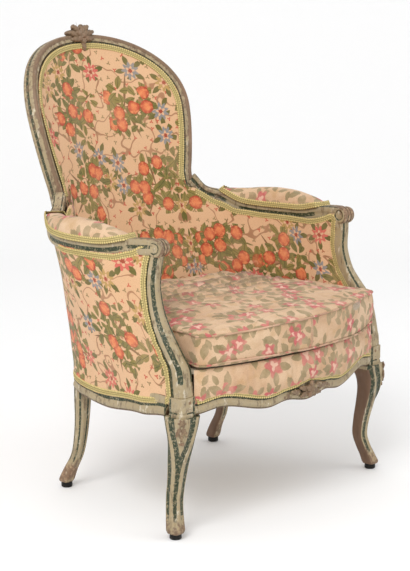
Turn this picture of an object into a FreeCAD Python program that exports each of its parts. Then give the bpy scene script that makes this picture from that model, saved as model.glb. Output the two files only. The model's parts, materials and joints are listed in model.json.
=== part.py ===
import FreeCAD, Part

import math
import os

import Sketcher
from FreeCAD import Vector

# Louis XV armchair with upholstered back, arms and a loose seat cushion.
# Millimetres. +Z is up, the sitter faces -Y, X = 0 is the plane of symmetry, and the
# feet stand on Z = 0. Pieces named right lie at +X and their left twins are mirrored.

# Driving sizes: one row each, alias, value and what it sets

SIZES = (
    ("glide_radius", 12, "round glide under each foot"),
    ("glide_height", 12, "glide thickness, which is also the height of the foot"),
    ("glide_bevel", 2, "chamfer round the glide's tread"),
    ("nail_head_radius", 3.2, "head of the nail that holds a glide"),
    ("nail_shank_radius", 1.1, "shank of that nail"),
    ("nail_length", 16, "nail from under its head to its point"),
    ("nail_sink", 4, "how deep the nail head lies in the glide"),
    ("block_x", 300, "front leg block, centre from the plane of symmetry"),
    ("block_y", -243, "front leg block, centre from the origin"),
    ("block_width", 39, "front leg block, side"),
    ("block_top", 286, "top of the leg block, where the arm post stands"),
    ("foot_width", 30, "front foot above its glide"),
    ("foot_out", 16, "how far the front foot turns outward"),
    ("foot_back", 3, "front foot behind the block"),
    ("ankle_height", 80, "narrowest part of the front leg"),
    ("ankle_width", 29, "front leg at the ankle"),
    ("ankle_back", 20, "ankle behind the block"),
    ("calf_height", 150, "middle of the front leg"),
    ("calf_width", 35, "front leg at the calf"),
    ("knee_height", 222, "knee of the front leg"),
    ("knee_width", 49, "front leg at the knee"),
    ("knee_out", 3, "how far the knee stands out of the block"),
    ("leg_round", 0.3, "corner radius as a share of a leg's width"),
    ("post_width", 37, "arm post just above the block"),
    ("post_low_height", 340, "post where it leaves the vertical"),
    ("post_low_back", 7, "post there, behind the block"),
    ("post_swell_height", 394, "post where it swells outward"),
    ("post_swell_out", 10, "outward swell of the post"),
    ("post_swell_back", 32, "post at the swell, behind the block"),
    ("post_swell_width", 35, "post at the swell"),
    ("post_waist_height", 448, "post where it has drawn back"),
    ("post_waist_back", 67, "post at the waist, behind the block"),
    ("post_waist_out", 2, "post at the waist, outside the block's centre"),
    ("post_waist_width", 29, "post at the waist"),
    ("post_neck_height", 500, "upright part of the post"),
    ("post_neck_back", 80, "post at its upright part, behind the block"),
    ("post_neck_in", 3, "post at its upright part, inside the block's centre"),
    ("post_neck_width", 27, "post at its upright part"),
    ("post_head_back", 6, "top of the post behind the centre of the scroll"),
    ("arm_height", 556, "centre of the arm rail under its pad"),
    ("arm_rail_width", 52, "arm rail under its pad"),
    ("arm_rail_depth", 30, "arm rail from under side to top"),
    ("arm_neck_rise", 14, "bare neck of the arm above the padded part"),
    ("arm_neck_width", 30, "bare neck of the arm"),
    ("arm_neck_depth", 33, "bare neck from under side to top"),
    ("arm_round", 7, "corner radius of the arm"),
    ("arm_root_extra", 4, "how much wider than the stile the arm's root is"),
    ("arm_collar_rise", 27, "collar behind the pad above the padded part"),
    ("arm_collar_width", 32, "arm at its collar"),
    ("scroll_radius", 18, "scroll at the front end of the arm"),
    ("scroll_length", 29, "scroll along its axis"),
    ("scroll_x", 292, "centre of the scroll from the plane of symmetry"),
    ("scroll_y", -174, "centre of the scroll from the origin"),
    ("scroll_drop", 1, "centre of the scroll below the middle of the neck"),
    ("crest_height", 957, "top of the back frame without its carving"),
    ("back_rake", 0.3, "how far the back leans for each unit of height"),
    ("back_crest_y", 350, "front face of the frame at its highest point"),
    ("back_radius", 420, "plan radius of the back above the arms"),
    ("seat_back_radius", 640, "plan radius of the back at the seat"),
    ("frame_face", 21, "width of the back frame's face"),
    ("frame_depth", 28, "depth of the back frame"),
    ("frame_round", 6, "corner radius of the back frame"),
    ("shoulder_height", 795, "widest part of the back frame"),
    ("shoulder_half_width", 213, "opening of the frame at the shoulder"),
    ("waist_height", 640, "lower end of the visible stiles"),
    ("waist_half_width", 186, "opening of the frame at the waist"),
    ("arch_fullness", 2.2, "how square the frame's arch is, 2 is an ellipse"),
    ("crest_share", 0.72, "half length of the crest rail over the shoulder width"),
    ("carving_half_width", 36, "carved flower on the crest"),
    ("carving_half_height", 18, "carved flower above and below its centre"),
    ("carving_half_depth", 19, "carved flower before and behind its centre"),
    ("rear_leg_x", 227, "rear leg at the seat rail"),
    ("rear_leg_y", 117, "rear leg at the seat rail"),
    ("rear_leg_width", 26, "rear leg at the seat rail"),
    ("rear_ankle_height", 78, "narrowest part of the rear leg"),
    ("rear_ankle_width", 23, "rear leg at its ankle"),
    ("rear_ankle_back", 15, "rear ankle behind the seat rail"),
    ("rear_foot_out", 8, "rear foot outside the leg"),
    ("rear_foot_back", 45, "rear foot behind the leg"),
    ("rear_foot_width", 27, "rear foot above its glide"),
    ("hidden_upright_width", 30, "upright inside the upholstery"),
    ("hidden_upright_depth", 20, "upright inside the upholstery, front to back"),
    ("hidden_upright_round", 5, "corner radius of that part"),
    ("rail_top", 286, "top of the seat rails"),
    ("rail_thickness", 30, "side and rear rails, from face to face"),
    ("front_rail_thickness", 36, "front rail from face to face"),
    ("front_rail_bow", 56, "how far the front rail bows past the blocks"),
    ("front_rail_face_y", -259, "face of the front rail at the blocks"),
    ("front_rail_tenon", 6, "how far the front rail runs into a block"),
    ("rear_rail_bottom", 226, "under side of the rear rail"),
    ("side_rail_front_bottom", 243, "under side of the side rail at the front leg"),
    ("side_rail_low_bottom", 220, "lowest part of the side rail"),
    ("side_rail_rear_bottom", 227, "under side of the side rail at the rear leg"),
    ("front_rail_end_bottom", 246, "under side of the front rail at a block"),
    ("front_rail_high_bottom", 255, "arch of the front rail beside a block"),
    ("front_rail_low_bottom", 236, "low wave of the front rail"),
    ("front_rail_hollow_bottom", 243, "hollow beside the carving"),
    ("front_rail_middle_bottom", 234, "under side of the front rail's carving"),
    ("apron_carving_half_width", 52, "carving on the front rail"),
    ("apron_carving_depth", 8, "how far that carving stands out"),
    ("side_rail_belly", 4, "outward curve of the side rail"),
    ("lower_rail_bottom", 330, "lower back rail, under side"),
    ("lower_rail_height", 44, "lower back rail"),
    ("lower_rail_thickness", 18, "lower back rail, front to back"),
    ("corner_block_leg", 62, "corner block along each rail"),
    ("corner_block_height", 34, "corner block"),
    ("corner_block_drop", 6, "corner block below the top of the rails"),
    ("peg_radius", 3.5, "wooden peg through a joint"),
    ("peg_length", 22, "wooden peg"),
    ("cloth", 1.5, "thickness of covers, hessian and webbing"),
    ("webbing_width", 52, "seat webbing strap"),
    ("webbing_inset", 4, "ends of the straps inside the edge of the stuffed seat"),
    ("webbing_pitch", 74, "distance from strap to strap"),
    ("webbing_across", 5, "straps from side to side"),
    ("webbing_along", 5, "straps from front to back"),
    ("pad_base_low", 2, "rear of the back's stuffing behind the frame's face, at the seat"),
    ("pad_base_high", 14, "rear of the back's stuffing behind the frame's face, above the arms"),
    ("outside_depth_low", 33, "outside cover behind the frame's face, at the seat"),
    ("outside_depth_high", 25, "outside cover behind the frame's face, above the arms"),
    ("outside_half_width_low", 212, "half width of the outside back at the seat"),
    ("back_stuffing", 13, "stuffing of the back at its edge"),
    ("back_crown", 10, "extra stuffing in the middle of the back"),
    ("arm_stuffing", 9, "stuffing of the inside arm at its edge"),
    ("arm_crown", 7, "extra stuffing in the middle of the inside arm"),
    ("pad_height", 38, "arm pad above the arm rail"),
    ("pad_width", 55, "arm pad"),
    ("pad_end_height", 15, "arm pad at its two ends"),
    ("pad_overhang", 2, "arm pad past each side of its rail"),
    ("pad_side_share", 0.45, "upright side of the arm pad over its height"),
    ("deck_height", 46, "stuffed seat above the hessian"),
    ("deck_front_setback", 1, "stuffed seat behind the front rail's face"),
    ("border_bulge", 6, "how far the front border swells past the rail"),
    ("border_above_edge", 26, "front border's lower edge above the rail's under side"),
    ("side_cover_above_edge", 30, "outside cover's lower edge above the side rail's under side"),
    ("deck_side_gap", 2, "stuffed seat beside the inside arms"),
    ("cushion_gap", 0.8, "air between the cushion and its neighbours"),
    ("cushion_border", 62, "height of the cushion's border"),
    ("cushion_seam_rise", 8, "lower seam above the cushion's under side"),
    ("cushion_crown", 16, "crown of the cushion above its upper seam"),
    ("cushion_swell", 3, "how far the border swells between its seams"),
    ("cushion_underside_inset", 14, "under side of the cushion inside its lower seam"),
    ("cushion_front_y", -324, "front of the cushion at its middle"),
    ("cushion_corner_x", 277, "front corner of the cushion"),
    ("cushion_corner_y", -270, "front corner of the cushion"),
    ("cushion_corner_round", 12, "how far the front corner is rounded off"),
    ("cushion_side_x", 268, "side of the cushion just behind its front corner"),
    ("cushion_middle_x", 255, "side of the cushion half way back"),
    ("cushion_rear_x", 232, "side of the cushion near the back"),
    ("cushion_rear_y", 40, "side of the cushion near the back"),
    ("cushion_back_x", 170, "rear corner of the cushion"),
    ("cushion_back_y", 119, "rear corner of the cushion"),
    ("cushion_back_bow", 26, "how far the cushion's back edge bows out"),
    ("piping", 3, "piping along the cushion's seams"),
    ("gimp_width", 10, "braid that covers the edges of the covers"),
    ("gimp_thickness", 2, "thickness of the braid"),
    ("gimp_steps", 16, "flat lengths of braid along one edge of a cover"),
    ("gimp_gap", 0.5, "air under the braid"),
    ("gimp_rear_inset", 4, "braid of the outside back away from the frame"),
    ("pad_seat", 4, "how far the arm pad is let into the top of its rail"),
    ("hip_x", 222, "outside cover where it turns on to the back"),
    ("hip_y", 190, "outside cover where it turns on to the back"),
    ("flank_x", 262, "outside cover between the arm and its turn"),
    ("flank_y", 155, "outside cover between the arm and its turn"),
    ("corner_x", 241, "outside cover round the rear leg"),
    ("corner_y", 126, "outside cover round the rear leg"),
    ("seat_clearance", 0.3, "air between upholstery and the wood beside it"),
)

ARM_PLAN = (
    ("arm_neck", 296, -156),
    ("arm_pad_front", 303, -106),
    ("arm_front", 309, -62),
    ("arm_middle", 312, -8),
    ("arm_rear", 303, 60),
    ("arm_turn", 284, 118),
    ("arm_collar", 257, 163),
    ("arm_sweep", 226, 186),
    ("arm_root", 203, 203),
)

RAIL_PLAN = (
    ("rail_front", 302, -216),
    ("rail_fore", 286, -110),
    ("rail_middle", 270, -10),
    ("rail_rear", 252, 72),
    ("rail_end", 233, 112),
)

DOC = FreeCAD.newDocument("armchair")
SHEET = DOC.addObject("Spreadsheet::Sheet", "sizes")


def fill_sheet():
    """Write every driving size into the sheet, one row each."""
    rows = list(SIZES)
    for name, x, y in ARM_PLAN + RAIL_PLAN:
        rows.append((name + "_x", x, "plan place"))
        rows.append((name + "_y", y, "plan place"))
    for row, (alias, value, note) in enumerate(rows, start=1):
        SHEET.set("A%d" % row, note)
        SHEET.set("B%d" % row, str(value))
        SHEET.setAlias("B%d" % row, alias)
    DOC.recompute()


def size(alias):
    """The value of one named size."""
    return float(SHEET.get(alias))


def place(name):
    """The plan place with this name, on the floor."""
    return Vector(size(name + "_x"), size(name + "_y"), 0)


fill_sheet()

UP = Vector(0, 0, 1)
OUTWARD = Vector(1, 0, 0)
FORWARD = Vector(0, -1, 0)
NODES = []


# Helpers for curves, sections and solids


def mix(first, second, share):
    """A value between two values."""
    return first + (second - first) * share


def smooth(share):
    """A share from 0 to 1 that starts and ends gently."""
    share = min(max(share, 0.0), 1.0)
    return share * share * (3 - 2 * share)


def through(stops, at):
    """A smooth wave through stops, each a position and its value."""
    if at <= stops[0][0]:
        return stops[0][1]
    for (start, low), (end, high) in zip(stops, stops[1:]):
        if at <= end:
            return mix(low, high, smooth((at - start) / (end - start)))
    return stops[-1][1]


def spline(points):
    """A smooth curve through points."""
    curve = Part.BSplineCurve()
    curve.interpolate(points)
    return curve


def along(points, count):
    """Evenly spaced points of the smooth curve through points."""
    return spline(points).toShape().discretize(Number=count)


def rounded_section(centre, across, upward, width, depth, radius):
    """A closed wire: a rectangle with round corners."""
    half_across = across * (width / 2)
    half_upward = upward * (depth / 2)
    corners = ((1, 1), (-1, 1), (-1, -1), (1, -1))
    stations = []
    for turn, (right, top) in enumerate(corners):
        corner = centre + half_across * right + half_upward * top
        cut_across = across * (radius * right)
        cut_upward = upward * (radius * top)
        middle = corner - (cut_across + cut_upward) * (1 - math.sqrt(0.5))
        if turn % 2 == 0:
            stations.append((corner - cut_upward, middle, corner - cut_across))
        else:
            stations.append((corner - cut_across, middle, corner - cut_upward))
    edges = []
    for (start, middle, end), following in zip(stations, stations[1:] + stations[:1]):
        edges.append(Part.Arc(start, middle, end).toShape())
        edges.append(Part.LineSegment(end, following[0]).toShape())
    return Part.Wire(edges)


def level_section(x, y, z, width):
    """A horizontal rounded square, as the legs and posts have."""
    radius = width * size("leg_round")
    return rounded_section(Vector(x, y, z), OUTWARD, Vector(0, 1, 0), width, width, radius)


def solid_from(shape):
    """The one solid of a shape, turned right side out."""
    solid = shape.Solids[0] if shape.Solids else Part.makeSolid(shape.Shells[0])
    if solid.Volume < 0:
        solid.reverse()
    return solid


def largest(shape):
    """The largest solid that a cut left, without its crumbs."""
    return max(shape.Solids, key=lambda part: part.Volume)


def trimmed(shape, neighbours):
    """What is left of a shape when the neighbours that it meets are cut out of it."""
    near = [other for other in neighbours if other.BoundBox.intersect(shape.BoundBox)]
    return largest(shape.cut(near)) if near else shape


def surface_through(rows):
    """A face through rows of points."""
    surface = Part.BSplineSurface()
    surface.interpolate(rows)
    return surface.toShape()


def slab(front_rows, rear_rows):
    """A closed solid between two surfaces laid through matching rows of points."""
    front = surface_through(front_rows)
    rear = surface_through(rear_rows)
    faces = [front, rear]
    for near, far in zip(front.OuterWire.Edges, rear.OuterWire.Edges):
        faces.append(Part.makeRuledSurface(near, far))
    skin = Part.makeCompound(faces)
    skin.sewShape()
    return solid_from(skin)


def mirrored(shape):
    """The same piece on the other side of the chair."""
    return shape.mirror(Vector(0, 0, 0), OUTWARD)


def add(label, shape):
    """Put a shaped piece into the document."""
    piece = DOC.addObject("Part::Feature", label)
    piece.Shape = shape
    piece.Placement = FreeCAD.Placement()
    piece.Label = label
    NODES.append(piece)
    return piece


def add_pair(name, shape):
    """The right piece and its mirrored left twin."""
    right = add(name + "_right", shape)
    left = DOC.addObject("Part::Mirroring", name + "_left")
    left.Source = right
    left.Base = Vector(0, 0, 0)
    left.Normal = OUTWARD
    left.Label = name + "_left"
    NODES.append(left)


# The back's own surface, arch and plan


def back_y(x, z):
    """Front face of the back frame."""
    middle = size("back_crest_y") - size("back_rake") * (size("crest_height") - z)
    share = smooth((z - size("rail_top")) / (size("arm_height") - size("rail_top")))
    radius = mix(size("seat_back_radius"), size("back_radius"), share)
    return middle - (radius - math.sqrt(radius * radius - x * x))


def on_back(x, z, behind=0.0):
    """A point of the back, some way behind the face of its frame."""
    return Vector(x, back_y(x, z) + behind, z)


def back_normal(x, z):
    """Unit direction from the face of the back to its rear."""
    step = 1.0
    across = on_back(x + step, z) - on_back(x - step, z)
    upward = on_back(x, z + step) - on_back(x, z - step)
    normal = upward.cross(across)
    normal.normalize()
    return normal if normal.y > 0 else normal * -1


def opening_top(x):
    """Top of the frame's opening over a place of the back."""
    half = size("shoulder_half_width")
    power = size("arch_fullness")
    rise = size("crest_height") - size("frame_face") - size("shoulder_height")
    share = min(abs(x) / half, 1.0)
    return size("shoulder_height") + rise * (1 - share ** power) ** (1 / power)


def opening_half_width(z):
    """Half width of the frame's opening below its shoulder."""
    drop = (size("shoulder_height") - z) / (size("shoulder_height") - size("waist_height"))
    narrow = size("shoulder_half_width") - size("waist_half_width")
    return size("shoulder_half_width") - narrow * min(max(drop, 0.0), 1.0) ** 1.5


# Legs, posts and rails


def front_leg():
    """Cabriole leg with its block, from the glide to the arm post."""
    x = size("block_x")
    y = size("block_y")
    shin_out = size("foot_out") * 0.6
    shin_back = mix(size("foot_back"), size("ankle_back"), 0.5)
    shin_height = mix(size("glide_height"), size("ankle_height"), 0.4)
    stations = (
        (size("foot_out"), size("foot_back"), size("glide_height"), size("foot_width")),
        (shin_out, shin_back, shin_height, size("foot_width")),
        (0.0, size("ankle_back"), size("ankle_height"), size("ankle_width")),
        (size("knee_out") / 2, size("ankle_back") / 2, size("calf_height"), size("calf_width")),
        (size("knee_out"), -size("knee_out"), size("knee_height"), size("knee_width")),
        (0.0, 0.0, mix(size("knee_height"), size("block_top"), 0.6), size("block_width")),
        (0.0, 0.0, size("block_top"), size("block_width")),
    )
    wires = [level_section(x + out, y + back, z, width) for out, back, z, width in stations]
    return Part.makeLoft(wires, True, False)


def scroll_centre():
    """Centre of the scroll that ends the arm."""
    height = size("arm_height") + size("arm_neck_rise") - size("scroll_drop")
    return Vector(size("scroll_x"), size("scroll_y"), height)


def arm_post():
    """Curved post from the leg block to the scroll of the arm."""
    x = size("block_x")
    y = size("block_y")
    head = scroll_centre()
    head_back = head.y - y + size("post_head_back")
    swell_out = size("post_swell_out")
    waist_out = size("post_waist_out")
    stations = (
        (0.0, 0.0, size("block_top"), size("post_width")),
        (0.0, size("post_low_back"), size("post_low_height"), size("post_width")),
        (swell_out, size("post_swell_back"), size("post_swell_height"), size("post_swell_width")),
        (waist_out, size("post_waist_back"), size("post_waist_height"), size("post_waist_width")),
        (-size("post_neck_in"), size("post_neck_back"), size("post_neck_height"), size("post_neck_width")),
        (head.x - x, head_back, head.z, size("post_neck_width")),
    )
    wires = [level_section(x + out, y + back, z, width) for out, back, z, width in stations]
    return Part.makeLoft(wires, True, False)


def arm_stations():
    """Centre, width and depth of the arm rail from its scroll to the stile."""
    rise = size("arm_neck_rise")
    collar = size("arm_collar_rise")
    wide = size("arm_rail_width")
    deep = size("arm_rail_depth")
    neck = size("arm_neck_width")
    face = size("frame_face") + size("arm_root_extra")
    shape = (
        ("arm_neck", rise, neck, size("arm_neck_depth")),
        ("arm_pad_front", rise * 0.7, neck + 6, size("arm_neck_depth")),
        ("arm_front", 2, wide - 4, deep),
        ("arm_middle", 0, wide, deep),
        ("arm_rear", 0, wide, deep),
        ("arm_turn", rise * 0.4, wide - 8, deep),
        ("arm_collar", collar, size("arm_collar_width"), deep),
        ("arm_sweep", collar * 1.5, face, size("frame_depth")),
        ("arm_root", collar * 2.6, face, size("frame_depth")),
    )
    stations = []
    for name, lift, width, depth in shape:
        centre = place(name) + UP * (size("arm_height") + lift)
        stations.append((centre, width, depth))
    return stations


def arm_frames(stations):
    """Each station with its sideways and upward direction, square to the arm."""
    frames = []
    last = len(stations) - 1
    for index, (centre, width, depth) in enumerate(stations):
        before = stations[max(index - 1, 0)][0]
        after = stations[min(index + 1, last)][0]
        run = after - before
        run.normalize()
        sideways = run.cross(UP)
        sideways.normalize()
        upward = sideways.cross(run)
        frames.append((centre, sideways, upward, width, depth))
    return frames


def arm_rail(upright):
    """Arm with its scroll in front and the sweep that meets the stile behind."""
    frames = arm_frames(arm_stations())
    head = scroll_centre()
    first = frames[0]
    nose = head + UP * size("scroll_drop")
    nose_width = size("scroll_length") - 1
    nose_depth = size("arm_neck_depth") - 3
    radius = size("arm_round")
    wires = [rounded_section(nose, first[1], first[2], nose_width, nose_depth, radius)]
    for centre, sideways, upward, width, depth in frames:
        wires.append(rounded_section(centre, sideways, upward, width, depth, radius))
    rail = Part.makeLoft(wires, True, False)
    start = head - first[1] * (size("scroll_length") / 2)
    scroll = Part.makeCylinder(size("scroll_radius"), size("scroll_length"), start, first[1])
    return largest(rail.fuse(scroll).cut(upright))


def stile_section(x, z, outward):
    """Section of the back frame whose inner front edge lies at x, z."""
    normal = back_normal(x, z)
    centre = on_back(x, z) + outward * (size("frame_face") / 2) + normal * (size("frame_depth") / 2)
    return rounded_section(
        centre, outward, normal, size("frame_face"), size("frame_depth"), size("frame_round"))


def outward_at(before, after, x, z):
    """Direction in the face of the back, square to the frame's edge."""
    run = after - before
    run.normalize()
    outward = run.cross(back_normal(x, z))
    outward.normalize()
    return outward


def crest_joint():
    """Angle on the arch where the crest rail meets a stile."""
    return math.asin(size("crest_share"))


def arch_place(angle):
    """Place on the opening's arch, 0 at the crest and a quarter turn at the shoulder."""
    x = size("shoulder_half_width") * math.sin(angle)
    return x, opening_top(x)


def crest_rail():
    """Arched top rail of the back with its carved flower."""
    end = crest_joint()
    count = 13
    wires = []
    for index in range(count):
        angle = mix(-end, end, index / (count - 1))
        x, z = arch_place(angle)
        left_x, left_z = arch_place(angle - 0.02)
        right_x, right_z = arch_place(angle + 0.02)
        outward = outward_at(on_back(right_x, right_z), on_back(left_x, left_z), x, z)
        if outward.z < 0:
            outward = outward * -1
        wires.append(stile_section(x, z, outward))
    rail = Part.makeLoft(wires, True, False)
    flower = Part.makeSphere(1)
    matrix = FreeCAD.Matrix()
    matrix.scale(size("carving_half_width"), size("carving_half_depth"), size("carving_half_height"))
    flower = flower.transformGeometry(matrix)
    flower.translate(on_back(0, size("crest_height"), size("frame_depth") / 2))
    return largest(rail.fuse(flower))


def upright():
    """Rear leg and stile in one: foot, leg, hidden upright and moulded stile."""
    leg_x = size("rear_leg_x")
    leg_y = size("rear_leg_y")
    wide = size("rear_leg_width")
    foot_out = size("rear_foot_out")
    foot_back = size("rear_foot_back")
    ankle = size("rear_ankle_height")
    ankle_back = size("rear_ankle_back")
    shin_height = mix(size("glide_height"), ankle, 0.45)
    calf_height = mix(ankle, size("rear_rail_bottom"), 0.5)
    legs = (
        (foot_out, foot_back, size("glide_height"), size("rear_foot_width")),
        (foot_out * 0.7, foot_back * 0.75, shin_height, size("rear_foot_width") - 2),
        (foot_out * 0.4, ankle_back, ankle, size("rear_ankle_width")),
        (0.0, ankle_back * 0.27, calf_height, wide - 1),
        (0.0, 0.0, size("rear_rail_bottom"), wide),
    )
    wires = []
    for out, back, z, width in legs:
        wires.append(level_section(leg_x + out, leg_y + back, z, width))
    hidden_from = size("rail_top")
    hidden_to = size("arm_height")
    waist_centre = size("waist_half_width") + size("frame_face") / 2
    for share in (0.0, 0.5, 0.9):
        z = mix(hidden_from, hidden_to, share)
        x = mix(leg_x, waist_centre + 10, share)
        normal = back_normal(x, z)
        level = Vector(normal.x, normal.y, 0)
        level.normalize()
        sideways = Vector(level.y, -level.x, 0)
        centre = on_back(x, z, size("hidden_upright_depth") / 2 + 1)
        broad = size("hidden_upright_width")
        deep = size("hidden_upright_depth")
        wires.append(rounded_section(centre, sideways, level, broad, deep, size("hidden_upright_round")))
    heights = (size("waist_height"), mix(size("waist_height"), size("shoulder_height"), 0.5))
    for z in heights:
        x = opening_half_width(z)
        low = on_back(opening_half_width(z - 5), z - 5)
        high = on_back(opening_half_width(z + 5), z + 5)
        outward = outward_at(low, high, x, z)
        if outward.x < 0:
            outward = outward * -1
        wires.append(stile_section(x, z, outward))
    start = math.pi / 2
    end = crest_joint()
    for share in (0.0, 0.35, 0.7, 1.0):
        angle = mix(start, end, share)
        x, z = arch_place(angle)
        near_x, near_z = arch_place(min(angle + 0.02, start))
        far_x, far_z = arch_place(angle - 0.02)
        outward = outward_at(on_back(near_x, near_z), on_back(far_x, far_z), x, z)
        if outward.x < 0:
            outward = outward * -1
        wires.append(stile_section(x, z, outward))
    return Part.makeLoft(wires, True, False)


def front_bow(x):
    """Face of the front rail in plan."""
    end = size("block_x") - size("block_width") / 2
    return size("front_rail_face_y") - size("front_rail_bow") * (1 - (x / end) ** 2)


def front_rail_bottom(x):
    """Wavy under side of the front rail."""
    end = size("block_x") - size("block_width") / 2
    stops = (
        (0.0, size("front_rail_middle_bottom")),
        (end * 0.22, size("front_rail_hollow_bottom")),
        (end * 0.4, size("front_rail_low_bottom")),
        (end * 0.8, size("front_rail_high_bottom")),
        (end, size("front_rail_end_bottom")),
    )
    return through(stops, abs(x))


def apron_bump(x, z):
    """How far the carving stands out of the front rail."""
    middle = mix(size("front_rail_middle_bottom"), size("rail_top"), 0.45)
    reach = (size("rail_top") - size("front_rail_middle_bottom")) * 0.6
    wide = 1 - (x / size("apron_carving_half_width")) ** 2
    high = 1 - ((z - middle) / reach) ** 2
    if wide <= 0 or high <= 0:
        return 0.0
    return size("apron_carving_depth") * wide * high


def front_rail(legs):
    """Bowed front rail with a wavy under side and a carved middle."""
    end = size("block_x") - size("block_width") / 2 + size("front_rail_tenon")
    columns = 29
    rows = 5
    front = []
    rear = []
    for column in range(columns):
        x = mix(-end, end, column / (columns - 1))
        low = front_rail_bottom(x)
        face = []
        back = []
        for row in range(rows):
            z = mix(low, size("rail_top"), row / (rows - 1))
            face.append(Vector(x, front_bow(x) - apron_bump(x, z), z))
            back.append(Vector(x, front_bow(x) + size("front_rail_thickness"), z))
        front.append(face)
        rear.append(back)
    return largest(slab(front, rear).cut(legs))


def plan_offset(points, offset):
    """Plan places moved sideways, away from the seat when positive."""
    moved = []
    last = len(points) - 1
    for index, point in enumerate(points):
        run = points[min(index + 1, last)] - points[max(index - 1, 0)]
        run.normalize()
        moved.append(point + run.cross(UP) * offset)
    return moved


def rail_line(offset, count):
    """Plan of the side rail, moved outward by an offset."""
    return plan_offset(along([place(name) for name, _, _ in RAIL_PLAN], count), offset)


def side_rail_bottom(share):
    """Wavy under side of the side rail, from its front end."""
    stops = (
        (0.0, size("side_rail_front_bottom")),
        (0.25, mix(size("side_rail_front_bottom"), size("side_rail_low_bottom"), 0.5)),
        (0.6, size("side_rail_low_bottom")),
        (1.0, size("side_rail_rear_bottom")),
    )
    return through(stops, share)


def side_rail(cutters):
    """Side rail from the front leg to the rear leg."""
    count = 15
    rows = 4
    half = size("rail_thickness") / 2
    outer = rail_line(half, count)
    inner = rail_line(-half, count)
    front = []
    rear = []
    for column in range(count):
        low = side_rail_bottom(column / (count - 1))
        face = []
        back = []
        for row in range(rows):
            z = mix(low, size("rail_top"), row / (rows - 1))
            belly = size("side_rail_belly") * math.sin(math.pi * row / (rows - 1))
            face.append(outer[column] + OUTWARD * belly * 0.5 + UP * z)
            back.append(inner[column] + UP * z)
        front.append(face)
        rear.append(back)
    return largest(slab(front, rear).cut(cutters))


def curved_rail(half_width, bottom, height, start, thickness):
    """A rail that follows the curve of the back."""
    count = 11
    front = []
    rear = []
    for column in range(count):
        x = mix(-half_width, half_width, column / (count - 1))
        face = []
        back = []
        for row in range(3):
            z = bottom + height * row / 2
            face.append(on_back(x, z, start))
            back.append(on_back(x, z, start + thickness))
        front.append(face)
        rear.append(back)
    return slab(front, rear)


# Upholstery walls


def seat_base():
    """Top of the hessian, where the seat's stuffing begins."""
    return size("rail_top") + 3 * size("cloth")


def wall_rows(low_points, high_points, bottom_at, top_at, columns, rows):
    """Rows of points of a wall between its plan at the rail and its plan at the arm."""
    low = along(low_points, columns)
    high = along(high_points, columns)
    base = size("rail_top")
    head = size("arm_height")
    result = []
    for column in range(columns):
        share = column / (columns - 1)
        line = []
        for row in range(rows):
            z = mix(bottom_at(share), top_at(share), row / (rows - 1))
            lean = max(z - base, 0.0) / (head - base)
            line.append(mix(low[column], high[column], lean) + UP * z)
        result.append(line)
    return result


def bulged(lines, depth, crown=0.0):
    """The same rows moved level, away from the seat when positive, with a crown."""
    result = []
    last = len(lines) - 1
    for column, line in enumerate(lines):
        before = lines[max(column - 1, 0)]
        after = lines[min(column + 1, last)]
        moved = []
        for row, point in enumerate(line):
            run = after[row] - before[row]
            run.z = 0
            run.normalize()
            wave = math.sin(math.pi * column / last) * math.sin(math.pi * row / (len(line) - 1))
            moved.append(point + run.cross(UP) * (depth + crown * wave * wave))
        result.append(moved)
    return result


def inside_arm_rows():
    """Rear face of the inside arm's stuffing."""
    inset = size("arm_rail_width") / 2 - size("arm_stuffing") - size("cloth")
    names = [name for name, _, _ in ARM_PLAN[:7]]
    high = plan_offset([place(name) for name in names], -inset)
    seam_x = size("waist_half_width") + 2
    high.append(Vector(seam_x + 3, back_y(seam_x, size("arm_height")), 0))
    rail_inset = (size("arm_stuffing") - size("rail_thickness")) / 2
    low = plan_offset([place(name) for name, _, _ in RAIL_PLAN], rail_inset)
    seam_y = back_y(seam_x, size("rail_top"))
    low = low[:-1]
    low.append(Vector(seam_x + 12, seam_y - 16, 0))
    low.append(Vector(seam_x, seam_y - 1, 0))
    bottom = seat_base() + size("seat_clearance")
    top = size("arm_height") - size("arm_rail_depth") / 2 - size("seat_clearance")
    return wall_rows(low, high, lambda share: bottom, lambda share: top, 15, 8)


def outside_arm_rows():
    """Inner face of the cover outside the arm, round to the back."""
    inset = size("arm_rail_width") / 2 - 2
    names = ("arm_pad_front", "arm_front", "arm_middle", "arm_rear")
    behind_post = size("block_y") + size("post_neck_back") + size("post_neck_width") / 2 + 2
    high = [Vector(size("block_x") + 9, behind_post, 0)]
    high += plan_offset([place(name) for name in names], inset)[1:]
    high.append(place("arm_turn") + Vector(9, 5, 0))
    high.append(Vector(size("flank_x"), size("flank_y"), 0))
    high.append(Vector(size("hip_x"), size("hip_y"), 0))
    head = size("arm_height")
    seam_high = outside_half_width(head) + size("seat_clearance")
    high.append(Vector(seam_high, back_y(seam_high, head) + outside_depth(head), 0))
    rail_face = size("rail_thickness") / 2 + size("side_rail_belly") / 2 + 1
    low = plan_offset([place(name) for name, _, _ in RAIL_PLAN], rail_face)
    low = low[:-1]
    low.append(Vector(size("corner_x"), size("corner_y"), 0))
    base = size("rail_top")
    seam_low = size("outside_half_width_low") + size("seat_clearance")
    low.append(Vector(seam_low, back_y(seam_low, base) + outside_depth(base), 0))
    top = head - size("arm_rail_depth") / 2 - size("seat_clearance")
    above = size("side_cover_above_edge")
    return wall_rows(low, high, lambda share: side_rail_bottom(share) + above, lambda share: top, 19, 9)


def pad_base(z):
    """Rear of the back's stuffing behind the frame's face."""
    share = smooth((z - size("lower_rail_bottom")) / (size("waist_height") - size("lower_rail_bottom")))
    return mix(size("pad_base_low"), size("pad_base_high"), share)


def outside_depth(z):
    """Outside cover behind the frame's face."""
    share = smooth((z - size("rail_top")) / (size("arm_height") - size("rail_top")))
    return mix(size("outside_depth_low"), size("outside_depth_high"), share)


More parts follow.
